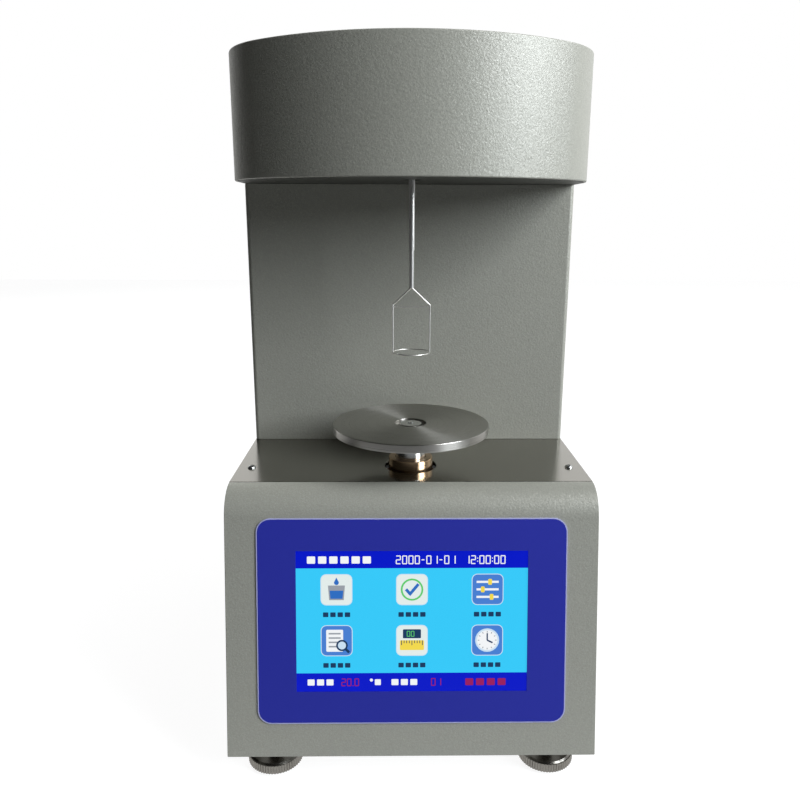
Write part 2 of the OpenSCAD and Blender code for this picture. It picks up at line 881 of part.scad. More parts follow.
module stepper_motor() {
    color([0.16, 0.16, 0.17])
        translate([0, axis_y, motor_plate_z])
            difference() {
                union() {
                    translate([0, 0, -motor_h])
                        linear_extrude(motor_h)
                            intersection() {
                                square(motor_w, center = true);
                                rotate(45) square(motor_w * 1.29, center = true);
                            }
                    cylinder(d = motor_boss_d, h = motor_boss_t);
                }
                translate([0, 0, 4 - motor_h])
                    cylinder(d = motor_shaft_d + 2 * run_gap, h = motor_h + 10);
            }
}

module motor_shaft() {
    bottom = motor_plate_z - motor_h + 5;
    color([0.8, 0.8, 0.82])
        translate([0, axis_y, bottom])
            cylinder(d = motor_shaft_d,
                     h = coupling_z + coupling_h / 2 - seat_gap - bottom);
}

module shaft_coupling() {
    color([0.82, 0.82, 0.84])
        translate([0, axis_y, coupling_z])
            difference() {
                cylinder(d = coupling_d, h = coupling_h);
                translate([0, 0, -cut])
                    cylinder(d = motor_shaft_d + 2 * seat_gap, h = coupling_h);
                translate([0, 0, coupling_h / 2])
                    cylinder(d = screw_d + 2 * seat_gap, h = coupling_h);
                for (z = [0.25, 0.75])
                    translate([0, 0, coupling_h * z])
                        rotate([0, 90, 0]) cylinder(d = 3, h = coupling_d);
            }
}

module lead_screw() {
    bottom = coupling_z + coupling_h / 2 + seat_gap;
    color([0.75, 0.75, 0.77])
        translate([0, axis_y, bottom]) cylinder(d = screw_d, h = screw_top - bottom);
}

module guide_rods() {
    bottom = motor_plate_z + motor_plate_t - guide_seat + seat_gap;
    top = top_plate_z + guide_seat - seat_gap;
    color([0.85, 0.85, 0.86])
        for (s = [-1, 1])
            translate([s * guide_x, axis_y, bottom])
                cylinder(d = guide_d, h = top - bottom);
}

module lift_top_plate() {
    color([0.72, 0.73, 0.74])
        translate([0, axis_y, top_plate_z])
            difference() {
                linear_extrude(top_plate_t) rounded_plate(plate_w, plate_d, 4);
                translate([0, 0, -cut])
                    cylinder(d = bush_d + 2 * seat_gap, h = top_plate_t + 2 * cut);
                for (s = [-1, 1])
                    translate([s * guide_x, 0, -cut])
                        cylinder(d = guide_d + 2 * seat_gap, h = guide_seat + cut);
            }
}

module top_spacers() {
    bottom = top_plate_z + top_plate_t;
    color([0.75, 0.75, 0.76])
        pillar_places() translate([0, 0, bottom])
            cylinder(d = pillar_d, h = deck_z - deck_t - bottom);
}

module limit_switches() {
    low = motor_plate_z + motor_plate_t;
    low_h = carriage_z - travel_down - low + limit_over;
    high_h = top_plate_z - (carriage_z + carriage_t + travel_up) + limit_over;
    color([0.12, 0.12, 0.12])
        translate([-limit_w / 2, axis_y + carriage_d / 2 + limit_d / 2, 0]) {
            translate([0, 0, low]) cube([limit_w, limit_d, low_h]);
            translate([0, 0, top_plate_z - high_h]) cube([limit_w, limit_d, high_h]);
        }
}

// Brass bush that guides the shaft; its flange sits on the top plate
module guide_bush() {
    height = deck_z + bush_h - top_plate_z;
    color([0.72, 0.5, 0.3])
        translate([0, axis_y, top_plate_z])
            difference() {
                union() {
                    cylinder(d = bush_d, h = height);
                    translate([0, 0, top_plate_t])
                        cylinder(d = bush_flange_d, h = bush_flange_t);
                }
                translate([0, 0, -cut])
                    cylinder(d = shaft_d + 2 * run_gap, h = height + 2 * cut);
            }
}

module carriage() {
    color([0.7, 0.71, 0.73])
        translate([0, axis_y, carriage_z])
            difference() {
                linear_extrude(carriage_t) rounded_plate(carriage_w, carriage_d, 5);
                translate([0, 0, -cut])
                    cylinder(d = lead_nut_d + 2 * seat_gap, h = carriage_t + 2 * cut);
                translate([0, 0, carriage_t - shaft_seat])
                    cylinder(d = shaft_d + 2 * seat_gap, h = shaft_seat + cut);
                for (s = [-1, 1])
                    translate([s * guide_x, 0, -cut])
                        cylinder(d = guide_d + 5 + 2 * seat_gap, h = carriage_t + 2 * cut);
            }
}

module carriage_bushes() {
    color([0.7, 0.5, 0.3])
        for (s = [-1, 1])
            translate([s * guide_x, axis_y, carriage_z])
                difference() {
                    cylinder(d = guide_d + 5, h = carriage_t);
                    translate([0, 0, -cut])
                        cylinder(d = guide_d + 2 * run_gap, h = carriage_t + 2 * cut);
                }
}

module lead_nut() {
    color([0.75, 0.58, 0.3])
        translate([0, axis_y, carriage_z - nut_flange_t])
            difference() {
                union() {
                    cylinder(d = nut_flange_d, h = nut_flange_t);
                    cylinder(d = lead_nut_d,
                             h = nut_flange_t + carriage_t - shaft_seat - seat_gap);
                }
                translate([0, 0, -cut])
                    cylinder(d = screw_d + 2 * run_gap,
                             h = nut_flange_t + carriage_t + 2 * cut);
            }
}

// Hollow steel shaft: the lead screw runs up inside it, and a spigot centres the stage
module stage_shaft() {
    bottom = carriage_z + carriage_t - shaft_seat;
    floor_z = stage_z - recess_depth;
    color([0.8, 0.8, 0.81])
        translate([0, axis_y, 0])
            difference() {
                union() {
                    translate([0, 0, bottom]) cylinder(d = shaft_d, h = stage_under - bottom);
                    cylinder(d = spigot_d, h = floor_z);
                }
                translate([0, 0, -cut]) cylinder(d = shaft_d, h = bottom + cut);
                translate([0, 0, bottom - cut])
                    cylinder(d = screw_d + 2, h = hollow_top - bottom + cut);
                translate([0, 0, floor_z - stage_screw_l - 1])
                    cylinder(d = stage_screw_d + 2 * seat_gap, h = stage_screw_l + 10);
            }
}

// Turned stainless disc with a locating recess in its middle
module stage_disc() {
    r = stage_d / 2;
    e = 0.3;                        // broken edges
    color([0.78, 0.78, 0.78])
        translate([0, axis_y, stage_under])
            rotate_extrude()
                polygon([
                    [spigot_d / 2 + seat_gap, 0], [r - e, 0], [r, e], [r, stage_t - e],
                    [r - e, stage_t], [recess_d / 2 + e, stage_t],
                    [recess_d / 2, stage_t - e], [recess_d / 2, stage_t - recess_depth],
                    [spigot_d / 2 + seat_gap, stage_t - recess_depth]
                ]);
}

// Low-head screw that holds the disc to the shaft, with a hexagon socket
module stage_screw() {
    head_h = recess_depth - 0.3;
    color([0.7, 0.7, 0.71])
        translate([0, axis_y, stage_z - recess_depth])
            difference() {
                union() {
                    cylinder(d = spigot_d + 1.6, h = head_h);
                    translate([0, 0, -stage_screw_l])
                        cylinder(d = stage_screw_d, h = stage_screw_l);
                }
                translate([0, 0, head_h - 1.1]) hex(3, 3);
            }
}

// Column and hood -----------------------------------------------------------------------

module column_outline(inset) {
    r = column_fold_r - inset;
    front = column_y + inset;
    translate([-side_x + inset, column_y + column_fold_r])
        square([body_w - 2 * inset, y_back - column_y - column_fold_r]);
    translate([-side_x + column_fold_r, front])
        square([body_w - 2 * column_fold_r, column_fold_r]);
    for (s = [-1, 1])
        translate([s * (side_x - column_fold_r), column_y + column_fold_r]) circle(r);
}

// Front and both sides of the column, folded from one sheet, with flanges at both ends
// and behind the back cover
module column_shell() {
    color([0.57, 0.58, 0.55])
        difference() {
            translate([0, 0, deck_z]) linear_extrude(work_gap) column_outline(0);
            translate([0, 0, deck_z + sheet_t])
                linear_extrude(work_gap - 2 * sheet_t)
                    intersection() {
                        column_outline(sheet_t);
                        translate([-inner_x, column_y])
                            square([2 * inner_x, cover_y - sheet_t - column_y]);
                    }
            translate([-inner_x, cover_y, deck_z - cut])
                cube([2 * inner_x, sheet_t + cut, work_gap + 2 * cut]);
            translate([-inner_x + panel_flange, column_y + panel_flange, deck_z - cut])
                cube([2 * (inner_x - panel_flange), body_d, work_gap + 2 * cut]);
            cover_screw_places() through_hole(screw3_hole_d);
        }
}

module cover_screw_places() {
    for (s = [-1, 1], z = cover_screw_z)
        on_back(s * (inner_x - panel_flange / 2), z) children();
}

module column_back_cover() {
    reach = 3 * sheet_t;
    color([0.57, 0.58, 0.55])
        difference() {
            translate([-inner_x, cover_y, deck_z]) cube([2 * inner_x, sheet_t, work_gap]);
            on_back(0, hood_z - cover_slot_drop) translate([0, 0, -reach])
                linear_extrude(2 * reach)
                    slot_row(cover_slot_rows, slot_pitch, slot_w, cover_slot_l);
            cover_screw_places() through_hole(screw3_hole_d);
        }
}

module cover_screws() {
    color([0.25, 0.25, 0.26])
        cover_screw_places()
            pan_screw(panel_head_d, panel_head_h, screw3_d, 2 * sheet_t + thread_l);
}

module hood_outline(inset) {
    meet_x = (hood_r - inset) * hood_cx / (hood_r - hood_corner_r);
    intersection() {
        translate([0, hood_cy]) circle(hood_r - inset);
        translate([-meet_x, hood_y - cut])
            square([2 * meet_x, hood_corner_y - hood_y + cut]);
    }
    for (s = [-1, 1])
        translate([s * hood_cx, hood_corner_y]) circle(hood_corner_r - inset);
    translate([-side_x + inset, hood_corner_y])
        square([body_w - 2 * inset, y_back - inset - hood_corner_y]);
}

// One-piece hood: flat top, bowed front, straight sides and back, open below
module hood_shell() {
    color([0.57, 0.58, 0.55])
        difference() {
            translate([0, 0, hood_z]) linear_extrude(hood_h) hood_outline(0);
            translate([0, 0, hood_z - cut])
                linear_extrude(hood_h - sheet_t + cut) hood_outline(sheet_t);
        }
}

module hood_floor() {
    color([0.35, 0.36, 0.34])
        difference() {
            translate([0, 0, hood_z])
                linear_extrude(floor_t) hood_outline(sheet_t + panel_gap);
            translate([0, axis_y, hood_z]) through_hole(rod_hole_d);
            translate([0, cable_hole_y, hood_z]) through_hole(cable_hole_d);
        }
}

// Weighing gear -------------------------------------------------------------------------

module cell_bracket() {
    color([0.72, 0.73, 0.74])
        difference() {
            translate([-bracket_w / 2, cell_y + cell_l - bracket_d, hood_z + floor_t])
                cube([bracket_w, bracket_d, cell_lift]);
            for (y = cell_screw_ys)
                translate([0, cell_y + y, cell_z - cell_screw_in - 1])
                    cylinder(d = cell_screw_d + 2 * seat_gap, h = cell_screw_in + 1 + cut);
        }
}

// Parallel-beam cell: two linked holes leave the thin webs that bend
module load_cell() {
    color([0.83, 0.84, 0.85])
        translate([0, cell_y, cell_z])
            difference() {
                translate([-cell_w / 2, 0, 0]) cube([cell_w, cell_l, cell_w]);
                for (s = [-0.5, 0.5])
                    translate([-cell_w, cell_l / 2 + s * cell_hole_pitch, cell_w / 2])
                        rotate([0, 90, 0]) cylinder(d = cell_hole_d, h = 2 * cell_w);
                translate([-cell_w, (cell_l - cell_hole_pitch) / 2,
                           (cell_w - cell_slit) / 2])
                    cube([2 * cell_w, cell_hole_pitch, cell_slit]);
                for (y = concat([cell_end], cell_screw_ys))
                    translate([0, y, -cut])
                        cylinder(d = cell_screw_d + 2 * seat_gap, h = cell_w + 2 * cut);
            }
}

module cell_screws() {
    head_h = 4;
    color([0.3, 0.3, 0.31])
        for (y = concat([cell_end], cell_screw_ys))
            translate([0, cell_y + y, cell_z + cell_w]) {
                depth = cell_w + (y == cell_end ? clevis_screw : cell_screw_in);
                cylinder(d = cell_screw_head_d, h = head_h);
                translate([0, 0, -depth]) cylinder(d = cell_screw_d, h = depth);
            }
}

// Forked block under the beam's free end, with the cross pin that the rod hangs on
module hanger_clevis() {
    color([0.8, 0.8, 0.82])
        translate([0, axis_y, 0]) {
            difference() {
                translate([-clevis_w / 2, -clevis_d / 2, cell_z - clevis_h])
                    cube([clevis_w, clevis_d, clevis_h]);
                translate([-clevis_slot / 2, -clevis_d, cell_z - clevis_h - cut])
                    cube([clevis_slot, 2 * clevis_d, clevis_h - clevis_web + cut]);
                translate([0, 0, cell_z - clevis_screw - seat_gap])
                    cylinder(d = cell_screw_d + 2 * seat_gap, h = clevis_screw + cut);
            }
            translate([-clevis_w / 2, 0, pin_z])
                rotate([0, 90, 0]) cylinder(d = pin_d, h = clevis_w);
        }
}

// Adjusting screw that stops the beam before it is overloaded
module overload_stop() {
    y = axis_y + clevis_d / 2 + stop_nut_af + 1;
    color([0.7, 0.7, 0.71])
        translate([0, y, hood_z + floor_t]) {
            cylinder(d = stop_d, h = cell_lift - stop_gap);
            hex(stop_nut_af, 4);
        }
}

module amplifier_board() {
    top = amp_lift + board_t;
    color([0.1, 0.4, 0.2])
        translate([inner_x - amp_w - 2 * board_gap, column_y - amp_d / 2,
                   hood_z + floor_t]) {
            board(amp_w, amp_d, amp_lift);
            translate([amp_w * 0.17, amp_d * 0.19, top]) cube([amp_can_w, amp_can_d, amp_can_h]);
            translate([amp_w * 0.3, amp_d * 0.69, top]) cube([chip_w, amp_chip_d, chip_t]);
        }
}

// Rod that hangs on the cross pin by its eye, with a socket for the ring's stem
module hanging_rod() {
    color([0.82, 0.82, 0.83])
        translate([0, axis_y, 0])
            difference() {
                union() {
                    translate([0, 0, rod_z]) cylinder(d = rod_d, h = pin_z - rod_z);
                    translate([-eye_t / 2, 0, pin_z])
                        rotate([0, 90, 0]) cylinder(d = eye_d, h = eye_t);
                }
                translate([-eye_t, 0, pin_z])
                    rotate([0, 90, 0]) cylinder(d = pin_d + 2 * run_gap, h = 2 * eye_t);
                translate([0, 0, rod_z - cut])
                    cylinder(d = socket_d + 2 * run_gap, h = socket_l + 2 * cut);
                for (s = [-1, 1])
                    translate([s * (eye_t / 2 + rod_d / 2) - rod_d / 2, -rod_d, pin_z - eye_d / 2])
                        cube([rod_d, 2 * rod_d, eye_d]);
            }
}

module ring_stem() {
    color([0.8, 0.8, 0.8])
        translate([0, axis_y, stem_z]) {
            cylinder(d = stem_d, h = stem_l - run_gap);
            cylinder(d = socket_d, h = stem_l + socket_l);
        }
}

module wire(from, to, d) {
    v = to - from;
    len = norm(v);
    translate(from)
        rotate([0, acos(v[2] / len), atan2(v[1], v[0])]) cylinder(d = d, h = len);
}

// Two sloping arms, two legs and a cross bar
module ring_stirrup() {
    d = stirrup_wire_d;
    color([0.8, 0.8, 0.8])
        translate([0, axis_y, 0]) {
            for (s = [-1, 1]) {
                shoulder = [s * ring_d / 2, 0, shoulder_z];
                wire([0, 0, stem_z + d / 4], shoulder, d);
                wire([s * ring_d / 2, 0, ring_z + ring_wire_d / 4], shoulder, d);
                translate(shoulder) sphere(d = d * 1.25);
            }
            wire([-ring_d / 2, 0, shoulder_z - bar_drop],
                 [ring_d / 2, 0, shoulder_z - bar_drop], d * 0.8);
        }
}

module measuring_ring() {
    color([0.85, 0.85, 0.84])
        translate([0, axis_y, ring_z])
            rotate_extrude() translate([ring_d / 2, 0]) circle(d = ring_wire_d);
}

base_shell();
base_pan();
pan_screws();
deck_plate();
deck_screws();
front_film();
touch_glass();
display_module();
display_straps();
rear_panel();
rear_screws();
power_inlet();
inlet_pins();
switch_housing();
switch_rocker();
serial_port();
power_supply();
control_board();
foot_nuts();
foot_wheel(-foot_x, foot_yf);  // foot_wheel_front_left
foot_wheel(foot_x, foot_yf);  // foot_wheel_front_right
foot_wheel(-foot_x, foot_yb);  // foot_wheel_back_left
foot_wheel(foot_x, foot_yb);  // foot_wheel_back_right
foot_pad(-foot_x, foot_yf);  // foot_pad_front_left
foot_pad(foot_x, foot_yf);  // foot_pad_front_right
foot_pad(-foot_x, foot_yb);  // foot_pad_back_left
foot_pad(foot_x, foot_yb);  // foot_pad_back_right
lift_pillars();
motor_plate();
stepper_motor();
motor_shaft();
shaft_coupling();
lead_screw();
guide_rods();
lift_top_plate();
top_spacers();
limit_switches();
guide_bush();
carriage();
carriage_bushes();
lead_nut();
stage_shaft();
stage_disc();
stage_screw();
column_shell();
column_back_cover();
cover_screws();
hood_shell();
hood_floor();
cell_bracket();
load_cell();
cell_screws();
hanger_clevis();
overload_stop();
amplifier_board();
hanging_rod();
ring_stem();
ring_stirrup();
measuring_ring();
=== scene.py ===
"""Bench surface tensiometer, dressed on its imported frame: a folded powder-coated case with a
screen, a stainless deck with a turned stage, and a hood that a wire ring hangs from.
Millimetres are turned into metres with MM; +Z is up and the operator looks along +Y."""

import math

import bmesh
import bpy
from mathutils import Matrix, Vector


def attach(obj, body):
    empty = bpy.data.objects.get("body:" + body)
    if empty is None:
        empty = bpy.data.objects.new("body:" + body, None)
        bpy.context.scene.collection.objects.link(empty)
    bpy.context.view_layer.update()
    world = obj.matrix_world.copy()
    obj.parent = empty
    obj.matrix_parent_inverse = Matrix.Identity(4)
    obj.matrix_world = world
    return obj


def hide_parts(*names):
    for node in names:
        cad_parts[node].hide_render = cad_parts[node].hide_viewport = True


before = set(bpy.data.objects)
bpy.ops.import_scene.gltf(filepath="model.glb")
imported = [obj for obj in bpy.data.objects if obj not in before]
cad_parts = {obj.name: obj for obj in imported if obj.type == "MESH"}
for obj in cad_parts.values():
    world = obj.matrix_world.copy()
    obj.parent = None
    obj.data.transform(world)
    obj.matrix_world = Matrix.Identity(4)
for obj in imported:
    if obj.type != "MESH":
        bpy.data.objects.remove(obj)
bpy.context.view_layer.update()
MM = 0.001

# View and light -----------------------------------------------------------------------------
# The instrument stands on a pale bench top. A soft lamp stands high at its front right, and
# the room is pale on that side and dim on the other, as in a photo tent open to the left.

EYE = Vector((-8.60, -451.22, 279.84)) * MM
PITCH, YAW, ROLL = (math.radians(a) for a in (13.67, 0.79, 0.19))
SENSOR, LENS, SHIFT = 36, 33.48, (-0.0058, -0.0017)
NEAREST = 0.01

scene = bpy.context.scene
scene.view_settings.view_transform = "Standard"

ahead = Vector(
    (
        math.sin(YAW) * math.cos(PITCH),
        math.cos(YAW) * math.cos(PITCH),
        -math.sin(PITCH),
    )
)
level_right = ahead.cross(Vector((0, 0, 1))).normalized()
level_up = level_right.cross(ahead)
eye_right = math.cos(ROLL) * level_right + math.sin(ROLL) * level_up
eye_up = math.cos(ROLL) * level_up - math.sin(ROLL) * level_right

camera_data = bpy.data.cameras.new("camera")
camera_data.sensor_width = SENSOR
camera_data.lens = LENS
camera_data.shift_x, camera_data.shift_y = SHIFT
camera_data.clip_start = NEAREST
camera = bpy.data.objects.new("camera", camera_data)
camera.matrix_world = (
    Matrix.Translation(EYE)
    @ Matrix((eye_right, eye_up, -ahead)).transposed().to_4x4()
)
scene.collection.objects.link(camera)
scene.camera = camera


def soft_lamp(name, place, aim, width, height, watts, tint=(1, 1, 1)):
    """Rectangular soft box at a place, facing another; all in metres."""
    data = bpy.data.lights.new(name, "AREA")
    data.shape = "RECTANGLE"
    data.size, data.size_y = width, height
    data.energy = watts
    data.color = tint
    lamp = bpy.data.objects.new(name, data)
    towards = Vector(aim) - Vector(place)
    lamp.matrix_world = (
        Matrix.Translation(place) @ towards.to_track_quat("-Z", "Y").to_matrix().to_4x4()
    )
    scene.collection.objects.link(lamp)
    return lamp


soft_lamp(
    "key_lamp",
    place=(1.79, -1.10, 1.19),
    aim=(0.0, 0.0, 0.25),
    width=1.15,
    height=1.35,
    watts=69,
    tint=(0.95, 1.0, 1.06),
)
soft_lamp(
    "top_lamp",
    place=(0.85, -0.50, 1.25),
    aim=(0.0, -0.05, 0.15),
    width=0.9,
    height=0.7,
    watts=7,
)
rear_lamp = soft_lamp(
    "rear_lamp",
    place=(-1.0, 1.4, 1.5),
    aim=(0.0, 0.0, 0.15),
    width=0.9,
    height=0.9,
    watts=20,
)
rear_lamp.visible_glossy = False

# The room: a white backdrop behind the object, which the camera sees and metal and glass
# mirror. What lights the object is dimmer: a pale wall behind it to the right, a dull grey
# straight behind and next to nothing in front.
DIM, PALE_WALL, BACKDROP, WHITE = 0.02, 1.0, 0.28, 1.0
world = bpy.data.worlds.new("studio")
scene.world = world
world.use_nodes = True
room = world.node_tree
room.nodes.clear()
room_out = room.nodes.new("ShaderNodeOutputWorld")
view_way = room.nodes.new("ShaderNodeTexCoord")
way_split = room.nodes.new("ShaderNodeSeparateXYZ")
room.links.new(view_way.outputs["Generated"], way_split.inputs[0])


def eased(axis, start, full, level):
    """Grey of the room that grows smoothly along one axis of the view's direction."""
    step = room.nodes.new("ShaderNodeMapRange")
    step.interpolation_type = "SMOOTHSTEP"
    step.inputs["From Min"].default_value = start
    step.inputs["From Max"].default_value = full
    step.inputs["To Max"].default_value = level
    room.links.new(way_split.outputs[axis], step.inputs["Value"])
    return step.outputs[0]


def math_node(tree, operation, first, second):
    """Math node whose two inputs are sockets or numbers; returns its output."""
    node = tree.nodes.new("ShaderNodeMath")
    node.operation = operation
    for slot, value in zip(node.inputs, (first, second)):
        if isinstance(value, (int, float)):
            slot.default_value = value
        else:
            tree.links.new(value, slot)
    return node.outputs[0]


def vector_node(tree, operation, first, second=None):
    """Vector Math node whose inputs are sockets or plain values; returns the node."""
    node = tree.nodes.new("ShaderNodeVectorMath")
    node.operation = operation
    other = node.inputs["Scale"] if operation == "SCALE" else node.inputs[1]
    for slot, value in ((node.inputs[0], first), (other, second)):
        if isinstance(value, tuple):
            slot.default_value = value
        elif value is not None:
            tree.links.new(value, slot)
    return node


def seen_white(tree, mirrored_part):
    """Mask of what the camera sees, and of the given part of what metal and glass mirror."""
    kinds = tree.nodes.new("ShaderNodeLightPath").outputs
    mirrored = math_node(
        tree, "MAXIMUM", kinds["Is Glossy Ray"], kinds["Is Transmission Ray"]
    )
    mirrored = math_node(tree, "MULTIPLY", mirrored, mirrored_part)
    return math_node(tree, "MAXIMUM", kinds["Is Camera Ray"], mirrored)


right_wall = eased("X", start=0.1, full=0.9, level=PALE_WALL)
wall = math_node(room, "MULTIPLY", right_wall, eased("Y", start=-0.3, full=0.4, level=1.0))
tone = math_node(room, "ADD", wall, eased("Y", start=0.2, full=0.9, level=BACKDROP))
room_grey = room.nodes.new("ShaderNodeBackground")
room.links.new(math_node(room, "ADD", tone, DIM), room_grey.inputs["Color"])
room_white = room.nodes.new("ShaderNodeBackground")
room_white.inputs["Color"].default_value = (WHITE, WHITE, WHITE, 1)
room_mix = room.nodes.new("ShaderNodeMixShader")
room.links.new(
    seen_white(room, eased("Y", start=0.35, full=0.9, level=1.0)), room_mix.inputs["Fac"]
)
room.links.new(room_grey.outputs[0], room_mix.inputs[1])
room.links.new(room_white.outputs[0], room_mix.inputs[2])
room.links.new(room_mix.outputs[0], room_out.inputs["Surface"])

# The bench top: a matt grey sheet that the camera sees as white, with the object's soft
# shadow left on it. Metal and glass mirror it white under the object and behind it.
BENCH_HALF = 3.0
BENCH_GREY, BENCH_GLOW, BENCH_ROUGH = 0.20, 0.90, 0.9
SHEET_MIDDLE, SHEET_WHITE, SHEET_END = (0.0, 0.5, 0.0), 0.60, 0.95


def shown(name, mesh):
    """Object of a mesh, put in the scene at the origin."""
    piece = bpy.data.objects.new(name, mesh)
    scene.collection.objects.link(piece)
    return piece


def new_material(name):
    """Empty material, with its tree and its Principled shader."""
    made = bpy.data.materials.new(name)
    made.use_nodes = True
    return made, made.node_tree, made.node_tree.nodes["Principled BSDF"]


bench_mesh = bpy.data.meshes.new("bench_top")
bench_mesh.from_pydata(
    [
        (-BENCH_HALF, -BENCH_HALF, 0),
        (BENCH_HALF, -BENCH_HALF, 0),
        (BENCH_HALF, BENCH_HALF, 0),
        (-BENCH_HALF, BENCH_HALF, 0),
    ],
    [],
    [(0, 1, 2, 3)],
)
shown("bench_top", bench_mesh)

bench_paint, bench, bench_shader = new_material("bench_paint")
bench_shader.inputs["Base Color"].default_value = (BENCH_GREY, BENCH_GREY, BENCH_GREY, 1)
bench_shader.inputs["Roughness"].default_value = BENCH_ROUGH
bench_place = bench.nodes.new("ShaderNodeTexCoord")
bench_reach = vector_node(bench, "DISTANCE", bench_place.outputs["Object"], SHEET_MIDDLE)
bench_sheet = bench.nodes.new("ShaderNodeMapRange")
bench_sheet.interpolation_type = "SMOOTHSTEP"
bench_sheet.inputs["From Min"].default_value = SHEET_END
bench_sheet.inputs["From Max"].default_value = SHEET_WHITE
bench.links.new(bench_reach.outputs["Value"], bench_sheet.inputs["Value"])
bench_shader.inputs["Emission Color"].default_value = (1, 1, 1, 1)
bench.links.new(
    math_node(bench, "MULTIPLY", seen_white(bench, bench_sheet.outputs[0]), BENCH_GLOW),
    bench_shader.inputs["Emission Strength"],
)
bench_mesh.materials.append(bench_paint)

# Case: base shell, column and hood ----------------------------------------------------------
# Sheet steel, 1.5 mm, folded and welded, then powder coated a warm silver grey. The coat is
# fine orange peel with metal flake in it, and it rounds every cut edge a little.

COAT = (0.310, 0.310, 0.268)


def shader_group(name, inputs, outputs):
    """Empty shader group with its sockets; returns the tree and its two end nodes."""
    tree = bpy.data.node_groups.new(name, "ShaderNodeTree")
    for label, kind, value in inputs:
        socket = tree.interface.new_socket(label, in_out="INPUT", socket_type=kind)
        socket.default_value = value
    for label, kind in outputs:
        tree.interface.new_socket(label, in_out="OUTPUT", socket_type=kind)
    return tree, tree.nodes.new("NodeGroupInput"), tree.nodes.new("NodeGroupOutput")


# Grain: clouds of tone and gloss with a fine relief, stretched along one way if asked.
grain, g_in, g_out = shader_group(
    "surface_grain",
    [
        ("Color", "NodeSocketColor", (0.5, 0.5, 0.5, 1)),
        ("Tone", "NodeSocketFloat", 0.1),
        ("Roughness", "NodeSocketFloat", 0.4),
        ("Gloss Spread", "NodeSocketFloat", 0.1),
        ("Scale", "NodeSocketFloat", 600.0),
        ("Stretch", "NodeSocketVector", (1, 1, 1)),
        ("Relief", "NodeSocketFloat", 0.00005),
    ],
    [
        ("Color", "NodeSocketColor"),
        ("Roughness", "NodeSocketFloat"),
        ("Normal", "NodeSocketVector"),
    ],
)
g_place = grain.nodes.new("ShaderNodeTexCoord")
g_stretch = vector_node(
    grain, "MULTIPLY", g_place.outputs["Object"], g_in.outputs["Stretch"]
)
g_noise = grain.nodes.new("ShaderNodeTexNoise")
g_noise.inputs["Detail"].default_value = 3.0
grain.links.new(g_stretch.outputs[0], g_noise.inputs["Vector"])
grain.links.new(g_in.outputs["Scale"], g_noise.inputs["Scale"])
g_swing = math_node(grain, "SUBTRACT", g_noise.outputs[0], 0.5)
g_tone = math_node(grain, "MULTIPLY", g_swing, g_in.outputs["Tone"])
g_tone = math_node(grain, "ADD", g_tone, 1.0)
g_color = vector_node(grain, "SCALE", g_in.outputs["Color"], g_tone)
grain.links.new(g_color.outputs[0], g_out.inputs["Color"])
g_gloss = math_node(grain, "MULTIPLY", g_swing, g_in.outputs["Gloss Spread"])
grain.links.new(
    math_node(grain, "ADD", g_gloss, g_in.outputs["Roughness"]),
    g_out.inputs["Roughness"],
)
g_bump = grain.nodes.new("ShaderNodeBump")
grain.links.new(g_noise.outputs[0], g_bump.inputs["Height"])
grain.links.new(g_in.outputs["Relief"], g_bump.inputs["Distance"])
grain.links.new(g_bump.outputs[0], g_out.inputs["Normal"])


def put_group(tree, group, values):
    """Places a shader group in a material's tree with its own values; returns its node."""
    node = tree.nodes.new("ShaderNodeGroup")
    node.node_tree = group
    for label, value in values.items():
        node.inputs[label].default_value = value
    return node


def feed(tree, node, shader, labels=("Color", "Roughness", "Normal")):
    """Links a group's outputs to the shader's sockets of the same kind."""
    for label in labels:
        target = "Base Color" if label == "Color" else label
        tree.links.new(node.outputs[label], shader.inputs[target])


def grained(
    name, color, tone, rough, spread, scale, relief, metal=0.0, stretch=(1, 1, 1), gloss=0.5
):
    """Material with the grain group on a Principled shader, its plain values set there."""
    made, tree, shader = new_material(name)
    shader.inputs["Metallic"].default_value = metal
    shader.inputs["Specular IOR Level"].default_value = gloss
    cloud = put_group(
        tree,
        grain,
        {
            "Color": (*color, 1),
            "Tone": tone,
            "Roughness": rough,
            "Gloss Spread": spread,
            "Scale": scale,
            "Stretch": stretch,
            "Relief": relief,
        },
    )
    feed(tree, cloud, shader)
    return made


# Flake: bright platelets that lie a little askew in the coat and glitter under a lamp.
flake, f_in, f_out = shader_group(
    "metal_flake",
    [
        ("Color", "NodeSocketColor", (0.3, 0.3, 0.3, 1)),
        ("Flake Gain", "NodeSocketFloat", 1.5),
        ("Scale", "NodeSocketFloat", 2500.0),
        ("Share", "NodeSocketFloat", 0.2),
        ("Tilt", "NodeSocketFloat", 0.2),
        ("Normal", "NodeSocketVector", (0, 0, 0)),
    ],
    [("Color", "NodeSocketColor"), ("Normal", "NodeSocketVector")],
)
f_place = flake.nodes.new("ShaderNodeTexCoord")
f_cells = flake.nodes.new("ShaderNodeTexVoronoi")
flake.links.new(f_place.outputs["Object"], f_cells.inputs["Vector"])
flake.links.new(f_in.outputs["Scale"], f_cells.inputs["Scale"])
f_split = flake.nodes.new("ShaderNodeSeparateColor")
flake.links.new(f_cells.outputs["Color"], f_split.inputs[0])
f_less = math_node(flake, "LESS_THAN", f_split.outputs[0], f_in.outputs["Share"])
f_gain = math_node(flake, "SUBTRACT", f_in.outputs["Flake Gain"], 1.0)
f_gain = math_node(flake, "ADD", math_node(flake, "MULTIPLY", f_less, f_gain), 1.0)
f_color = vector_node(flake, "SCALE", f_in.outputs["Color"], f_gain)
flake.links.new(f_color.outputs[0], f_out.inputs["Color"])
f_half = vector_node(flake, "SUBTRACT", f_cells.outputs["Color"], (0.5, 0.5, 0.5))
f_tilt = vector_node(flake, "SCALE", f_half.outputs[0], f_in.outputs["Tilt"])
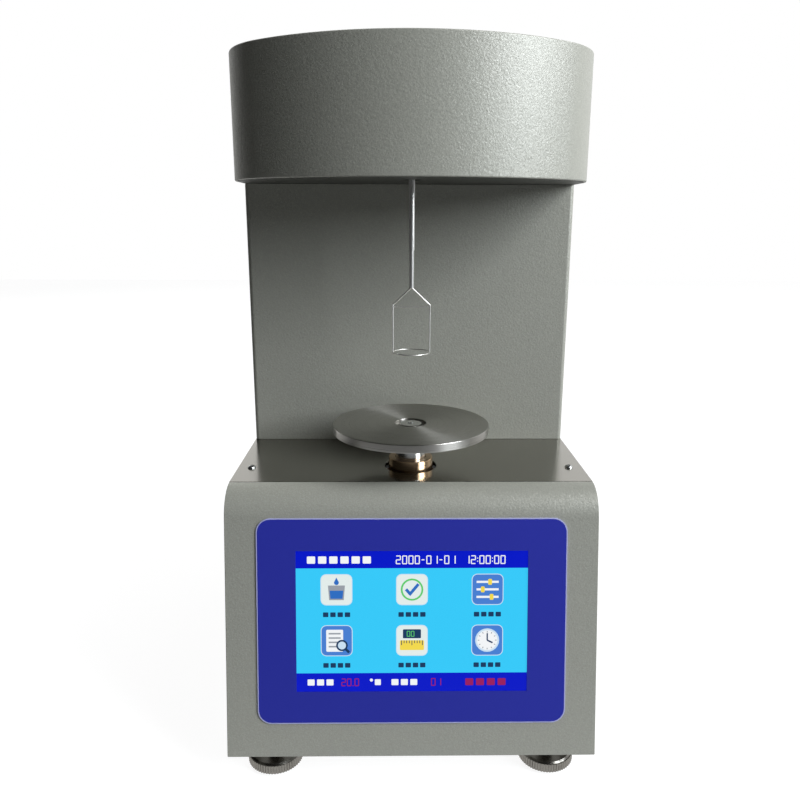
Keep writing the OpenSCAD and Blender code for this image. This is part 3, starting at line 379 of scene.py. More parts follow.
f_sum = vector_node(flake, "ADD", f_in.outputs["Normal"], f_tilt.outputs[0])
f_unit = vector_node(flake, "NORMALIZE", f_sum.outputs[0])
flake.links.new(f_unit.outputs[0], f_out.inputs["Normal"])


def flaked(made, gain, scale, share, tilt):
    """Puts the flake group between a grained material's clouds and its shader."""
    tree = made.node_tree
    cloud = next(n for n in tree.nodes if n.type == "GROUP")
    specks = put_group(
        tree, flake, {"Flake Gain": gain, "Scale": scale, "Share": share, "Tilt": tilt}
    )
    for label in ("Color", "Normal"):
        tree.links.new(cloud.outputs[label], specks.inputs[label])
    feed(tree, specks, tree.nodes["Principled BSDF"], ("Color", "Normal"))
    return made


powder_coat = flaked(
    grained(
        "powder_coat",
        COAT,
        tone=0.12,
        rough=0.42,
        spread=0.10,
        scale=880,
        relief=0.00012,
        metal=0.13,
        gloss=0.6,
    ),
    gain=1.18,
    scale=3200,
    share=0.22,
    tilt=0.16,
)

SAME_POINT, SAME_PLANE, SHARP = 1e-6, math.radians(0.4), math.radians(28)


def softened(node, body, material, edge, segments=2):
    """Stands in for a CAD node with a copy of its solid whose sharp edges are rounded, by an
    edge in millimetres; the flats keep their own shading."""
    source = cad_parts[node]
    form = bmesh.new()
    form.from_mesh(source.data)
    bmesh.ops.remove_doubles(form, verts=form.verts, dist=SAME_POINT)
    bmesh.ops.dissolve_limit(
        form, angle_limit=SAME_PLANE, verts=form.verts, edges=form.edges
    )
    for face in form.faces:
        face.smooth = True
    mesh = bpy.data.meshes.new(node + "_skin")
    form.to_mesh(mesh)
    form.free()
    mesh.materials.append(material)
    piece = shown(node + "_skin", mesh)
    bevel = piece.modifiers.new("edges", "BEVEL")
    bevel.width = edge * MM
    bevel.segments = segments
    bevel.limit_method = "ANGLE"
    bevel.angle_limit = SHARP
    bevel.use_clamp_overlap = False
    weigh = piece.modifiers.new("shading", "WEIGHTED_NORMAL")
    weigh.weight = 100
    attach(piece, body)
    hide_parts(node)


def finish(material, *names):
    """Gives CAD nodes that are shown as they are their material."""
    for name in names:
        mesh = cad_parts[name].data
        if not mesh.materials:
            mesh.materials.append(material)
        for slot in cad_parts[name].material_slots:
            slot.link = "OBJECT"
            slot.material = material


softened("hood_shell", "frame_body", powder_coat, edge=0.7, segments=3)
softened("column_shell", "frame_body", powder_coat, edge=0.25)
softened("base_shell", "frame_body", powder_coat, edge=0.4)
softened("rear_panel", "frame_body", powder_coat, edge=0.3)
softened("column_back_cover", "frame_body", powder_coat, edge=0.3)

# The hood's underside is given a near-black paint: painted shade that stands for the shade
# falling under the hood, not a colour of its own.
hood_floor_paint = grained(
    "hood_floor_paint",
    (0.045, 0.046, 0.038),
    tone=0.12,
    rough=0.5,
    spread=0.1,
    scale=900,
    relief=0.0001,
)
finish(hood_floor_paint, "hood_floor")

# Deck ---------------------------------------------------------------------------------------
# Stainless sheet, 2 mm, rolled bright with a faint grain across the instrument. It is held
# down by two small screws in front of the stage.

DECK_Z = 149.5

stainless_sheet = grained(
    "stainless_sheet",
    (0.34, 0.33, 0.295),
    tone=0.05,
    rough=0.19,
    spread=0.06,
    scale=420,
    relief=0.000004,
    metal=1.0,
    stretch=(0.15, 1, 1),
)
softened("deck_plate", "frame_body", stainless_sheet, edge=0.25)

# Stage --------------------------------------------------------------------------------------
# A stainless disc, faced on a lathe, on a ground shaft that slides in a brass guide bush. A
# low screw in its recess holds it. It rises and sinks with the lifting gear.

# Tool marks: fine rings that follow the turning, read from the piece's own map.
marks, m_in, m_out = shader_group(
    "tool_marks",
    [
        ("Color", "NodeSocketColor", (0.6, 0.6, 0.6, 1)),
        ("Tone", "NodeSocketFloat", 0.1),
        ("Roughness", "NodeSocketFloat", 0.25),
        ("Gloss Spread", "NodeSocketFloat", 0.1),
        ("Pitch", "NodeSocketFloat", 3.0),
        ("Relief", "NodeSocketFloat", 0.000004),
    ],
    [
        ("Color", "NodeSocketColor"),
        ("Roughness", "NodeSocketFloat"),
        ("Normal", "NodeSocketVector"),
    ],
)
m_map = marks.nodes.new("ShaderNodeUVMap")
m_map.uv_map = "turning"
m_split = marks.nodes.new("ShaderNodeSeparateXYZ")
marks.links.new(m_map.outputs[0], m_split.inputs[0])
m_noise = marks.nodes.new("ShaderNodeTexNoise")
m_noise.noise_dimensions = "1D"
m_noise.inputs["Detail"].default_value = 2.0
marks.links.new(
    math_node(marks, "MULTIPLY", m_split.outputs[1], m_in.outputs["Pitch"]),
    m_noise.inputs["W"],
)
m_noise.inputs["Scale"].default_value = 1.0
m_swing = math_node(marks, "SUBTRACT", m_noise.outputs[0], 0.5)
m_tone = math_node(marks, "MULTIPLY", m_swing, m_in.outputs["Tone"])
m_tone = math_node(marks, "ADD", m_tone, 1.0)
m_color = vector_node(marks, "SCALE", m_in.outputs["Color"], m_tone)
marks.links.new(m_color.outputs[0], m_out.inputs["Color"])
m_gloss = math_node(marks, "MULTIPLY", m_swing, m_in.outputs["Gloss Spread"])
marks.links.new(
    math_node(marks, "ADD", m_gloss, m_in.outputs["Roughness"]),
    m_out.inputs["Roughness"],
)
m_bump = marks.nodes.new("ShaderNodeBump")
marks.links.new(m_noise.outputs[0], m_bump.inputs["Height"])
marks.links.new(m_in.outputs["Relief"], m_bump.inputs["Distance"])
marks.links.new(m_bump.outputs[0], m_out.inputs["Normal"])
ACROSS = 0.25  # of a turn, from along the tool marks to across them


def lathe_finish(name, color, tone, rough, spread, pitch, relief, drawn):
    """Turned metal: tool marks, and a highlight drawn out across them."""
    made, tree, shader = new_material(name)
    shader.inputs["Metallic"].default_value = 1.0
    shader.inputs["Anisotropic"].default_value = drawn
    shader.inputs["Anisotropic Rotation"].default_value = ACROSS
    turning = tree.nodes.new("ShaderNodeTangent")
    turning.direction_type = "UV_MAP"
    turning.uv_map = "turning"
    tree.links.new(turning.outputs[0], shader.inputs["Tangent"])
    rings = put_group(
        tree,
        marks,
        {
            "Color": (*color, 1),
            "Tone": tone,
            "Roughness": rough,
            "Gloss Spread": spread,
            "Pitch": pitch,
            "Relief": relief,
        },
    )
    feed(tree, rings, shader)
    return made


EASE_REACHES = (1.6, 1.0)  # where an eased corner starts and ends, as shares of its ease
EASE_DEPTH = 0.293


def turned(name, profile, centre, ease, material, steps=120):
    """Closed ring of revolution from a closed profile of (radius, height) in millimetres,
    its corners eased, with a map whose u runs round and v along the profile."""
    line = []
    for k, corner in enumerate(profile):
        here = Vector(corner)
        back = (Vector(profile[k - 1]) - here).normalized()
        on = (Vector(profile[(k + 1) % len(profile)]) - here).normalized()
        line.extend(here + back * ease * reach for reach in EASE_REACHES)
        line.append(here + (back + on) * ease * EASE_DEPTH)
        line.extend(here + on * ease * reach for reach in reversed(EASE_REACHES))
    form = bmesh.new()
    turning_map = form.loops.layers.uv.new("turning")
    rings = []
    for point in line:
        ring = []
        for i in range(steps):
            a = 2 * math.pi * i / steps
            x = centre[0] + point.x * math.cos(a)
            y = centre[1] + point.x * math.sin(a)
            ring.append(form.verts.new(Vector((x, y, point.y)) * MM))
        rings.append(ring)
    run = [0.0]
    for a, b in zip(line, line[1:] + line[:1]):
        run.append(run[-1] + (b - a).length)
    for k, low in enumerate(rings):
        high = rings[(k + 1) % len(rings)]
        for i in range(steps):
            j = (i + 1) % steps
            face = form.faces.new((low[i], low[j], high[j], high[i]))
            face.smooth = True
            places = ((i, run[k]), (i + 1, run[k]), (i + 1, run[k + 1]), (i, run[k + 1]))
            for loop, (u, v) in zip(face.loops, places):
                loop[turning_map].uv = (u / steps, v)
    bmesh.ops.recalc_face_normals(form, faces=form.faces)
    mesh = bpy.data.meshes.new(name)
    form.to_mesh(mesh)
    form.free()
    mesh.materials.append(material)
    return shown(name, mesh)


AXIS = (0, -67.472)
DISC_R, DISC_TOP, DISC_LOW = 41.5, 173.4, 169.2
RECESS_R, RECESS_Z, HOLE_R = 8.3, 171.4, 5.02
turned_steel = lathe_finish(
    "turned_steel",
    (0.41, 0.40, 0.372),
    tone=0.16,
    rough=0.30,
    spread=0.12,
    pitch=5.0,
    relief=0.000004,
    drawn=0.88,
)
stage_disc = turned(
    "stage_disc_turned",
    [
        (HOLE_R, DISC_LOW),
        (DISC_R, DISC_LOW),
        (DISC_R, DISC_TOP),
        (RECESS_R, DISC_TOP),
        (RECESS_R, RECESS_Z),
        (HOLE_R, RECESS_Z),
    ],
    AXIS,
    ease=0.25,
    material=turned_steel,
)
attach(stage_disc, "stage_lift_body")
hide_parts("stage_disc")

ground_steel = grained(
    "ground_steel",
    (0.66, 0.66, 0.65),
    tone=0.05,
    rough=0.20,
    spread=0.06,
    scale=700,
    relief=0.000004,
    metal=1.0,
)
softened("stage_shaft", "stage_lift_body", ground_steel, edge=0.2)

BUSH_R, BUSH_BORE, BUSH_TOP = 11.85, 8.05, 154.8
FLANGE_R, FLANGE_LOW, FLANGE_TOP, BUSH_LOW = 16.85, 141.0, 144.0, 135.0
turned_brass = lathe_finish(
    "turned_brass",
    (0.68, 0.49, 0.31),
    tone=0.10,
    rough=0.24,
    spread=0.10,
    pitch=3.0,
    relief=0.000006,
    drawn=0.4,
)
guide_bush = turned(
    "guide_bush_turned",
    [
        (BUSH_BORE, BUSH_LOW),
        (BUSH_R, BUSH_LOW),
        (BUSH_R, FLANGE_LOW),
        (FLANGE_R, FLANGE_LOW),
        (FLANGE_R, FLANGE_TOP),
        (BUSH_R, FLANGE_TOP),
        (BUSH_R, BUSH_TOP),
        (BUSH_BORE, BUSH_TOP),
    ],
    AXIS,
    ease=0.35,
    material=turned_brass,
    steps=96,
)
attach(guide_bush, "frame_body")
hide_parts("guide_bush")
finish(ground_steel, "stage_screw")

plain_brass = grained(
    "plain_brass",
    (0.60, 0.405, 0.235),
    tone=0.08,
    rough=0.26,
    spread=0.08,
    scale=800,
    relief=0.00001,
    metal=1.0,
)
finish(plain_brass, "carriage_bushes", "lead_nut")

# Front film and screen ----------------------------------------------------------------------
# A polyester film, printed blue on its back and stuck on the front panel, with a window over
# the touch glass. The screen shows a plain menu of six tiles with bars and numerals.

TILT = math.radians(9.8)
FACE_CORNER = Vector((0, -107.027, DECK_Z))  # where the panel's plane meets the deck's
WINDOW_DOWN = 65.5  # from there down the panel to the window's middle
FILM_W, FILM_H, FILM_R, FILM_T = 153.6, 104.0, 7.0, 0.6
WINDOW_W, WINDOW_H = 115.0, 71.5
PRINT_INSET, PRINT_LIFT, PRINT_FIT = 0.5, 0.03, 0.1


def on_front(x, y, out):
    """Point on the leaning front panel, in metres, from the window's middle: x to the right,
    y up the panel and out from its surface, in millimetres."""
    down = WINDOW_DOWN - y
    sine, cosine = math.sin(TILT), math.cos(TILT)
    step = Vector((x, -down * sine - out * cosine, -down * cosine + out * sine))
    return (FACE_CORNER + step) * MM


def round_corners(w, h, r, steps=6, middle=(0, 0)):
    """Outline of a rounded rectangle, anticlockwise."""
    points = []
    for k, (sx, sy) in enumerate(((1, -1), (1, 1), (-1, 1), (-1, -1))):
        for i in range(steps + 1):
            a = math.radians(-90 + 90 * k + 90 * i / steps)
            points.append(
                (
                    middle[0] + sx * (w / 2 - r) + r * math.cos(a),
                    middle[1] + sy * (h / 2 - r) + r * math.sin(a),
                )
            )
    return points


film_edge = grained(
    "film_edge",
    (0.42, 0.43, 0.70),
    tone=0.06,
    rough=0.35,
    spread=0.05,
    scale=500,
    relief=0.00002,
)
film_print = grained(
    "film_print",
    (0.024, 0.031, 0.33),
    tone=0.10,
    rough=0.45,
    spread=0.08,
    scale=1500,
    relief=0.00003,
    gloss=0.15,
)
finish(film_edge, "front_film")

PRINT_W, PRINT_H = FILM_W - 2 * PRINT_INSET, FILM_H - 2 * PRINT_INSET
outer = round_corners(PRINT_W, PRINT_H, FILM_R - PRINT_INSET)
inner = round_corners(WINDOW_W - PRINT_FIT, WINDOW_H - PRINT_FIT, PRINT_FIT)
corners = len(outer)
outlines = [(outer, FILM_T + PRINT_LIFT), (inner, FILM_T + PRINT_LIFT), (inner, PRINT_LIFT)]
print_mesh = bpy.data.meshes.new("film_print")
print_mesh.from_pydata(
    [on_front(x, y, out) for outline, out in outlines for x, y in outline],
    [],
    [
        (
            k * corners + i,
            k * corners + (i + 1) % corners,
            (k + 1) * corners + (i + 1) % corners,
            (k + 1) * corners + i,
        )
        for k in range(len(outlines) - 1)
        for i in range(corners)
    ],
)
print_mesh.materials.append(film_print)
printed_film = shown("film_print", print_mesh)
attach(printed_film, "frame_body")

screen_glass = grained(
    "screen_glass",
    (0.02, 0.025, 0.03),
    tone=0.05,
    rough=0.08,
    spread=0.02,
    scale=300,
    relief=0.0,
)
finish(screen_glass, "touch_glass")

OWN_LIGHT, BODY_SHARE = 0.92, 0.08
DOT_SCALE, DOT_SHADE = 3400, 0.94


def lit(name, color):
    """Lit area of the screen behind its glass: nearly all of its colour is its own light."""
    made = grained(
        name,
        tuple(BODY_SHARE * c for c in color),
        tone=0.02,
        rough=0.22,
        spread=0.02,
        scale=300,
        relief=0.0,
        gloss=0.1,
    )
    tree = made.node_tree
    shader = tree.nodes["Principled BSDF"]
    place = tree.nodes.new("ShaderNodeTexCoord")
    dots = tree.nodes.new("ShaderNodeTexChecker")
    dots.inputs["Scale"].default_value = DOT_SCALE
    dots.inputs["Color1"].default_value = (*color, 1)
    dots.inputs["Color2"].default_value = (*(DOT_SHADE * c for c in color), 1)
    tree.links.new(place.outputs["Object"], dots.inputs["Vector"])
    tree.links.new(dots.outputs["Color"], shader.inputs["Emission Color"])
    shader.inputs["Emission Strength"].default_value = OWN_LIGHT
    return made


INKS = {
    "sky": lit("screen_sky", (0.040, 0.61, 0.98)),
    "bar": lit("screen_bar", (0.002, 0.010, 0.59)),
    "white": lit("screen_white", (0.93, 0.95, 0.97)),
    "red": lit("screen_red", (0.33, 0.015, 0.12)),
    "tile": lit("screen_tile", (0.07, 0.22, 0.66)),
    "edge": lit("screen_edge", (0.62, 0.78, 0.92)),
    "green": lit("screen_green", (0.12, 0.62, 0.16)),
    "yellow": lit("screen_yellow", (0.93, 0.72, 0.08)),
    "grey": lit("screen_grey", (0.33, 0.36, 0.40)),
    "dark": lit("screen_dark", (0.012, 0.045, 0.12)),
    "paper": lit("screen_paper", (0.80, 0.88, 0.86)),
    "blue": lit("screen_blue", (0.03, 0.16, 0.55)),
}
ink_names = list(INKS)
LOWEST_LAYER, LAYER_STEP = 0.04, 0.03
picture = bmesh.new()


def draw(points, ink, layer):
    """Flat patch of the picture, in a layer that lies just over the one below it."""
    out = LOWEST_LAYER + LAYER_STEP * layer
    face = picture.faces.new([picture.verts.new(on_front(x, y, out)) for x, y in points])
    face.material_index = ink_names.index(ink)


def block(x, y, w, h, ink, layer, r=0.0):
    """Rectangle round a middle, with rounded corners if it has a radius."""
    if r:
        draw(round_corners(w, h, r, 4, (x, y)), ink, layer)
    else:
        draw(
            [
                (x - w / 2, y - h / 2),
                (x + w / 2, y - h / 2),
                (x + w / 2, y + h / 2),
                (x - w / 2, y + h / 2),
            ],
            ink,
            layer,
        )


def spot(x, y, r, ink, layer, sides=24):
    """Round patch of the picture."""
    draw(
        [
            (
                x + r * math.cos(2 * math.pi * i / sides),
                y + r * math.sin(2 * math.pi * i / sides),
            )
            for i in range(sides)
        ],
        ink,
        layer,
    )


def stroke(x0, y0, x1, y1, w, ink, layer):
    """Straight line of width w with square ends."""
    run = math.hypot(x1 - x0, y1 - y0)
    nx, ny = -(y1 - y0) / run * w / 2, (x1 - x0) / run * w / 2
    draw(
        [(x0 - nx, y0 - ny), (x1 - nx, y1 - ny), (x1 + nx, y1 + ny), (x0 + nx, y0 + ny)],
        ink,
        layer,
    )


# Numerals of seven bars: a top, b upper right, c lower right, d foot, e lower left, f upper
# left and g middle.
BARS_LIT = {"0": "abcdef", "1": "bc", "2": "abged"}
NUMERAL_WIDE, BAR_THICK = 0.52, 0.13
GAP_AFTER, GAP_AFTER_DASH = 0.28, 0.15


def numerals(text, x, y, h, ink, layer):
    """Row of numerals of height h from x on, with its middle line at y."""
    w, t, gap = NUMERAL_WIDE * h, BAR_THICK * h, GAP_AFTER * h
    lines = {
        "a": (0, h / 2, w, h / 2),
        "b": (w, h / 2, w, 0),
        "c": (w, 0, w, -h / 2),
        "d": (0, -h / 2, w, -h / 2),
        "e": (0, 0, 0, -h / 2),
        "f": (0, h / 2, 0, 0),
        "g": (0, 0, w, 0),
    }
    for mark in text:
        if mark in BARS_LIT:
            for name in BARS_LIT[mark]:
                x0, y0, x1, y1 = lines[name]
                stroke(x + x0, y + y0, x + x1, y + y1, t, ink, layer)
            x += w + gap
        elif mark == ".":
            block(x, y - h / 2, t, t, ink, layer)
            x += gap
        elif mark == ":":
            block(x, y + h / 5, t, t, ink, layer)
            block(x, y - h / 5, t, t, ink, layer)
            x += gap
        elif mark == "-":
            stroke(x, y, x + w * 0.7, y, t, ink, layer)
            x += w + GAP_AFTER_DASH * h


MARK_WIDE, MARK_TALL, MARK_ROUND = 0.74, 0.66, 0.08


def label(x, y, marks, size, ink, layer):
    """Row of plain blocks where a screen has words: how many, and each one's width."""
    for k in range(marks):
        middle = x + (k + 0.5) * size
        block(
            middle, y, MARK_WIDE * size, MARK_TALL * size, ink, layer, MARK_ROUND * size
        )


# Ground of the picture, and the bars at its top and foot
BAR_AT_TOP, BAR_AT_FOOT, OVER = 26.9, -26.3, 1
block(0, 0, WINDOW_W + OVER, WINDOW_H + OVER, "sky", 0)
for inside, outside in ((BAR_AT_TOP, WINDOW_H / 2), (BAR_AT_FOOT, -WINDOW_H / 2)):
    block(
        0, (inside + outside) / 2, WINDOW_W + OVER, abs(outside - inside), "bar", 1
    )

TOP_LINE, FOOT_LINE, TOP_SIZE, FOOT_SIZE = 31.1, -31.0, 3.9, 3.5
label(-52.6, TOP_LINE, 6, 5.5, "white", 2)
numerals("2000-01-01", -7.8, TOP_LINE, TOP_SIZE, "white", 2)
numerals("12:00:00", 26.2, TOP_LINE, TOP_SIZE, "white", 2)
label(-52.6, FOOT_LINE, 3, 4.7, "white", 2)
numerals("20.0", -35.0, FOOT_LINE, FOOT_SIZE, "red", 2)
spot(-20.2, FOOT_LINE + 1.1, 0.8, "white", 2, 12)
block(-17.0, FOOT_LINE, 3.0, 3.0, "white", 2, 0.4)
label(-10.8, FOOT_LINE, 3, 4.7, "white", 2)
numerals("01", 9.8, FOOT_LINE, FOOT_SIZE, "red", 2)
label(26.0, FOOT_LINE, 4, 5.4, "red", 2)

# Six tiles, each with a plain sign and four blocks for its name
TILE, TILE_R, TILE_EDGE = 15.0, 2.4, 0.4
TILE_ROWS, TILE_COLUMNS = (16.1, -9.7), (-37.4, 0.0, 37.5)
TILE_INKS = ("paper", "paper", "tile", "tile", "paper", "tile")
NAME_DOWN, NAME_MARK = 12.6, 3.6
tiles = [(x, y) for y in TILE_ROWS for x in TILE_COLUMNS]
for (x, y), ink in zip(tiles, TILE_INKS):
    framed = TILE + 2 * TILE_EDGE
    block(x, y, framed, framed, "edge", 1, TILE_R + TILE_EDGE)
    block(x, y, TILE, TILE, ink, 2, TILE_R)
    label(x - 2 * NAME_MARK, y - NAME_DOWN, 4, NAME_MARK, "dark", 1)

cup_x, cup_y = tiles[0]  # a beaker with a drop over it
draw(
    [
        (cup_x - 4.2, cup_y + 2.2),
        (cup_x - 3.6, cup_y - 5.2),
        (cup_x + 3.6, cup_y - 5.2),
        (cup_x + 4.2, cup_y + 2.2),
    ],
    "grey",
    3,
)
draw(
    [
        (cup_x - 3.4, cup_y - 0.4),
        (cup_x - 3.0, cup_y - 4.5),
        (cup_x + 3.0, cup_y - 4.5),
        (cup_x + 3.4, cup_y - 0.4),
    ],
    "blue",
    4,
)
spot(cup_x, cup_y + 3.6, 1.2, "blue", 3)
draw(
    [(cup_x - 1.1, cup_y + 4.0), (cup_x + 1.1, cup_y + 4.0), (cup_x, cup_y + 6.2)],
    "blue",
    4,
)

tick_x, tick_y = tiles[1]  # a tick on a white disc
spot(tick_x, tick_y, 5.6, "green", 3)
spot(tick_x, tick_y, 4.7, "paper", 4)
stroke(tick_x - 3.0, tick_y + 0.2, tick_x - 0.7, tick_y - 2.4, 1.5, "blue", 5)
stroke(tick_x - 1.4, tick_y - 2.7, tick_x + 3.2, tick_y + 2.8, 1.5, "blue", 6)

set_x, set_y = tiles[2]  # three sliders
for step, knob in ((-3.8, 2.0), (0.0, -2.4), (3.8, 1.2)):
    block(set_x, set_y + step, 11, 1.1, "white", 3)
    block(set_x + knob, set_y + step, 1.9, 3.0, "yellow", 4, 0.5)

list_x, list_y = tiles[3]  # a sheet with lines and a lens
block(list_x - 1.0, list_y, 8.4, 11.2, "white", 3, 0.6)
for row in range(4):
    block(list_x - 1.0, list_y + 3.6 - 2.2 * row, 6, 0.8, "grey", 4)
spot(list_x + 2.6, list_y - 2.4, 2.9, "dark", 5)
spot(list_x + 2.6, list_y - 2.4, 2.0, "edge", 6)
stroke(list_x + 4.4, list_y - 4.2, list_x + 6.2, list_y - 6.0, 1.3, "dark", 5)

gauge_x, gauge_y = tiles[4]  # a scale with a small readout
block(gauge_x, gauge_y - 2.4, 12, 5.0, "yellow", 3, 0.5)
for mark in range(9):
    tall = 2.4 if mark % 4 == 0 else 1.4
    block(gauge_x - 5.2 + 1.3 * mark, gauge_y - tall / 2, 0.4, tall, "dark", 4)
block(gauge_x, gauge_y + 3.4, 9, 4.6, "dark", 3, 0.5)
numerals("00", gauge_x - 2.4, gauge_y + 3.4, 2.6, "green", 4)

clock_x, clock_y = tiles[5]  # a clock face
spot(clock_x, clock_y, 6.0, "edge", 3)
spot(clock_x, clock_y, 5.1, "white", 4)
for hour in range(12):
    a = math.radians(30 * hour)
    stroke(
        clock_x + 3.9 * math.cos(a),
        clock_y + 3.9 * math.sin(a),
        clock_x + 4.7 * math.cos(a),
        clock_y + 4.7 * math.sin(a),
        0.45,
        "grey",
        5,
    )
stroke(clock_x, clock_y, clock_x, clock_y + 3.6, 0.7, "dark", 5)
stroke(clock_x, clock_y, clock_x + 2.7, clock_y - 1.3, 0.8, "dark", 6)

picture_mesh = bpy.data.meshes.new("screen_picture")
picture.to_mesh(picture_mesh)
picture.free()
for ink in ink_names:
    picture_mesh.materials.append(INKS[ink])
screen_picture = shown("screen_picture", picture_mesh)
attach(screen_picture, "frame_body")

# Screws -------------------------------------------------------------------------------------
# Pan-head machine screws with a cross recess, zinc plated in the deck and the pan, black on
# the back. One tree makes them all from their places, and turns each a little differently.

zinc_plate = grained(
    "zinc_plate",
    (0.50, 0.51, 0.50),
    tone=0.10,
    rough=0.30,
    spread=0.12,
    scale=500,
    relief=0.00002,
    metal=1.0,
)
black_oxide = grained(
    "black_oxide",
    (0.018, 0.018, 0.02),
    tone=0.2,
    rough=0.38,
    spread=0.1,
    scale=900,
    relief=0.00003,
    metal=0.5,
)

screw_tree = bpy.data.node_groups.new("pan_head_screws", "GeometryNodeTree")
screw_tree.interface.new_socket(
    "Places", in_out="INPUT", socket_type="NodeSocketGeometry"
)
for label, value in (
    ("Head Width", 0.0044),
    ("Head Height", 0.0015),
    ("Recess Width", 0.0005),
    ("Shank Width", 0.003),
    ("Shank Length", 0.006),
):
    screw_tree.interface.new_socket(
        label, in_out="INPUT", socket_type="NodeSocketFloat"
    ).default_value = value
screw_tree.interface.new_socket(
    "Facing", in_out="INPUT", socket_type="NodeSocketVector"
)
screw_tree.interface.new_socket(
    "Finish", in_out="INPUT", socket_type="NodeSocketMaterial"
)
screw_tree.interface.new_socket(
    "Geometry", in_out="OUTPUT", socket_type="NodeSocketGeometry"
)
s_in = screw_tree.nodes.new("NodeGroupInput")
s_out = screw_tree.nodes.new("NodeGroupOutput")


def vector_of(tree, x, y, z):
    """Combine XYZ node from sockets or numbers; returns its output."""
    node = tree.nodes.new("ShaderNodeCombineXYZ")
    for slot, value in zip(node.inputs, (x, y, z)):
        if isinstance(value, (int, float)):
            slot.default_value = value
        else:
            tree.links.new(value, slot)
    return node.outputs[0]


def placed(tree, geometry, move=None, scale=None, turn=None):
    """Transform Geometry node; returns its output."""
    node = tree.nodes.new("GeometryNodeTransform")
    tree.links.new(geometry, node.inputs["Geometry"])
    if move is not None:
        tree.links.new(move, node.inputs["Translation"])
    if scale is not None:
        tree.links.new(scale, node.inputs["Scale"])
    if turn is not None:
        node.inputs["Rotation"].default_value = turn
    return node.outputs[0]


RECESS_SPAN = 0.56  # of the head's width
TURN_SEED = 4
width, height = s_in.outputs["Head Width"], s_in.outputs["Head Height"]
dome = screw_tree.nodes.new("GeometryNodeMeshUVSphere")
dome.inputs["Segments"].default_value = 24
dome.inputs["Rings"].default_value = 12
half_width = math_node(screw_tree, "MULTIPLY", width, 0.5)
head = placed(
    screw_tree,
    dome.outputs["Mesh"],
    scale=vector_of(screw_tree, half_width, half_width, height),
)
below = screw_tree.nodes.new("GeometryNodeMeshCube")
wide = math_node(screw_tree, "MULTIPLY", width, 4.0)
tall = math_node(screw_tree, "MULTIPLY", height, 4.0)
screw_tree.links.new(vector_of(screw_tree, wide, wide, tall), below.inputs["Size"])
sunk = placed(
    screw_tree,
    below.outputs["Mesh"],
    move=vector_of(screw_tree, 0.0, 0.0, math_node(screw_tree, "MULTIPLY", height, -2.0)),
)
blade = screw_tree.nodes.new("GeometryNodeMeshCube")
screw_tree.links.new(
    vector_of(
        screw_tree,
        math_node(screw_tree, "MULTIPLY", width, RECESS_SPAN),
        s_in.outputs["Recess Width"],
        height,
    ),
    blade.inputs["Size"],
)
blade_up = vector_of(screw_tree, 0.0, 0.0, height)
blade_one = placed(screw_tree, blade.outputs["Mesh"], move=blade_up)
blade_two = placed(
    screw_tree, blade.outputs["Mesh"], move=blade_up, turn=(0, 0, math.pi / 2)
)
cut = screw_tree.nodes.new("GeometryNodeMeshBoolean")
cut.operation = "DIFFERENCE"
screw_tree.links.new(head, cut.inputs["Mesh 1"])
for cutter in (sunk, blade_one, blade_two):
    screw_tree.links.new(cutter, cut.inputs["Mesh 2"])
shank = screw_tree.nodes.new("GeometryNodeMeshCylinder")
shank.inputs["Vertices"].default_value = 16
screw_tree.links.new(
    math_node(screw_tree, "MULTIPLY", s_in.outputs["Shank Width"], 0.5),
    shank.inputs["Radius"],
)
screw_tree.links.new(s_in.outputs["Shank Length"], shank.inputs["Depth"])
shank_down = placed(
    screw_tree,
    shank.outputs["Mesh"],
    move=vector_of(
        screw_tree,
        0.0,
        0.0,
        math_node(screw_tree, "MULTIPLY", s_in.outputs["Shank Length"], -0.5),
    ),
)
screw = screw_tree.nodes.new("GeometryNodeJoinGeometry")
screw_tree.links.new(cut.outputs["Mesh"], screw.inputs[0])
screw_tree.links.new(shank_down, screw.inputs[0])
each = screw_tree.nodes.new("GeometryNodeInstanceOnPoints")
screw_tree.links.new(s_in.outputs["Places"], each.inputs["Points"])
screw_tree.links.new(screw.outputs[0], each.inputs["Instance"])
upright = screw_tree.nodes.new("FunctionNodeAlignRotationToVector")
upright.axis = "Z"
screw_tree.links.new(s_in.outputs["Facing"], upright.inputs["Vector"])
screw_tree.links.new(upright.outputs[0], each.inputs["Rotation"])
chance = screw_tree.nodes.new("FunctionNodeRandomValue")
chance.data_type = "FLOAT"
chance.inputs["Seed"].default_value = TURN_SEED
spin = screw_tree.nodes.new("GeometryNodeRotateInstances")
screw_tree.links.new(each.outputs[0], spin.inputs["Instances"])
screw_tree.links.new(
    vector_of(
        screw_tree,
        0.0,
        0.0,
        math_node(screw_tree, "MULTIPLY", chance.outputs["Value"], math.pi / 2),
    ),
    spin.inputs["Rotation"],
)
real = screw_tree.nodes.new("GeometryNodeRealizeInstances")
screw_tree.links.new(spin.outputs[0], real.inputs[0])
coat = screw_tree.nodes.new("GeometryNodeSetMaterial")
screw_tree.links.new(real.outputs[0], coat.inputs["Geometry"])
screw_tree.links.new(s_in.outputs["Finish"], coat.inputs["Material"])
screw_tree.links.new(coat.outputs[0], s_out.inputs[0])


def grown(name, points, tree, values):
    """Runs a Geometry Nodes tree on a set of points and keeps the result as plain mesh."""
    seed = bpy.data.meshes.new(name + "_places")
    seed.from_pydata([Vector(p) * MM for p in points], [], [])
    holder = shown(name + "_places", seed)
    maker = holder.modifiers.new("maker", "NODES")
    maker.node_group = tree
    sockets = {
        item.name: item.identifier
        for item in tree.interface.items_tree
        if item.item_type == "SOCKET" and item.in_out == "INPUT"
    }
    for label, value in values.items():
        maker[sockets[label]] = value
    graph = bpy.context.evaluated_depsgraph_get()
    made = bpy.data.meshes.new_from_object(holder.evaluated_get(graph))
    bpy.data.objects.remove(holder)
    return shown(name, made)


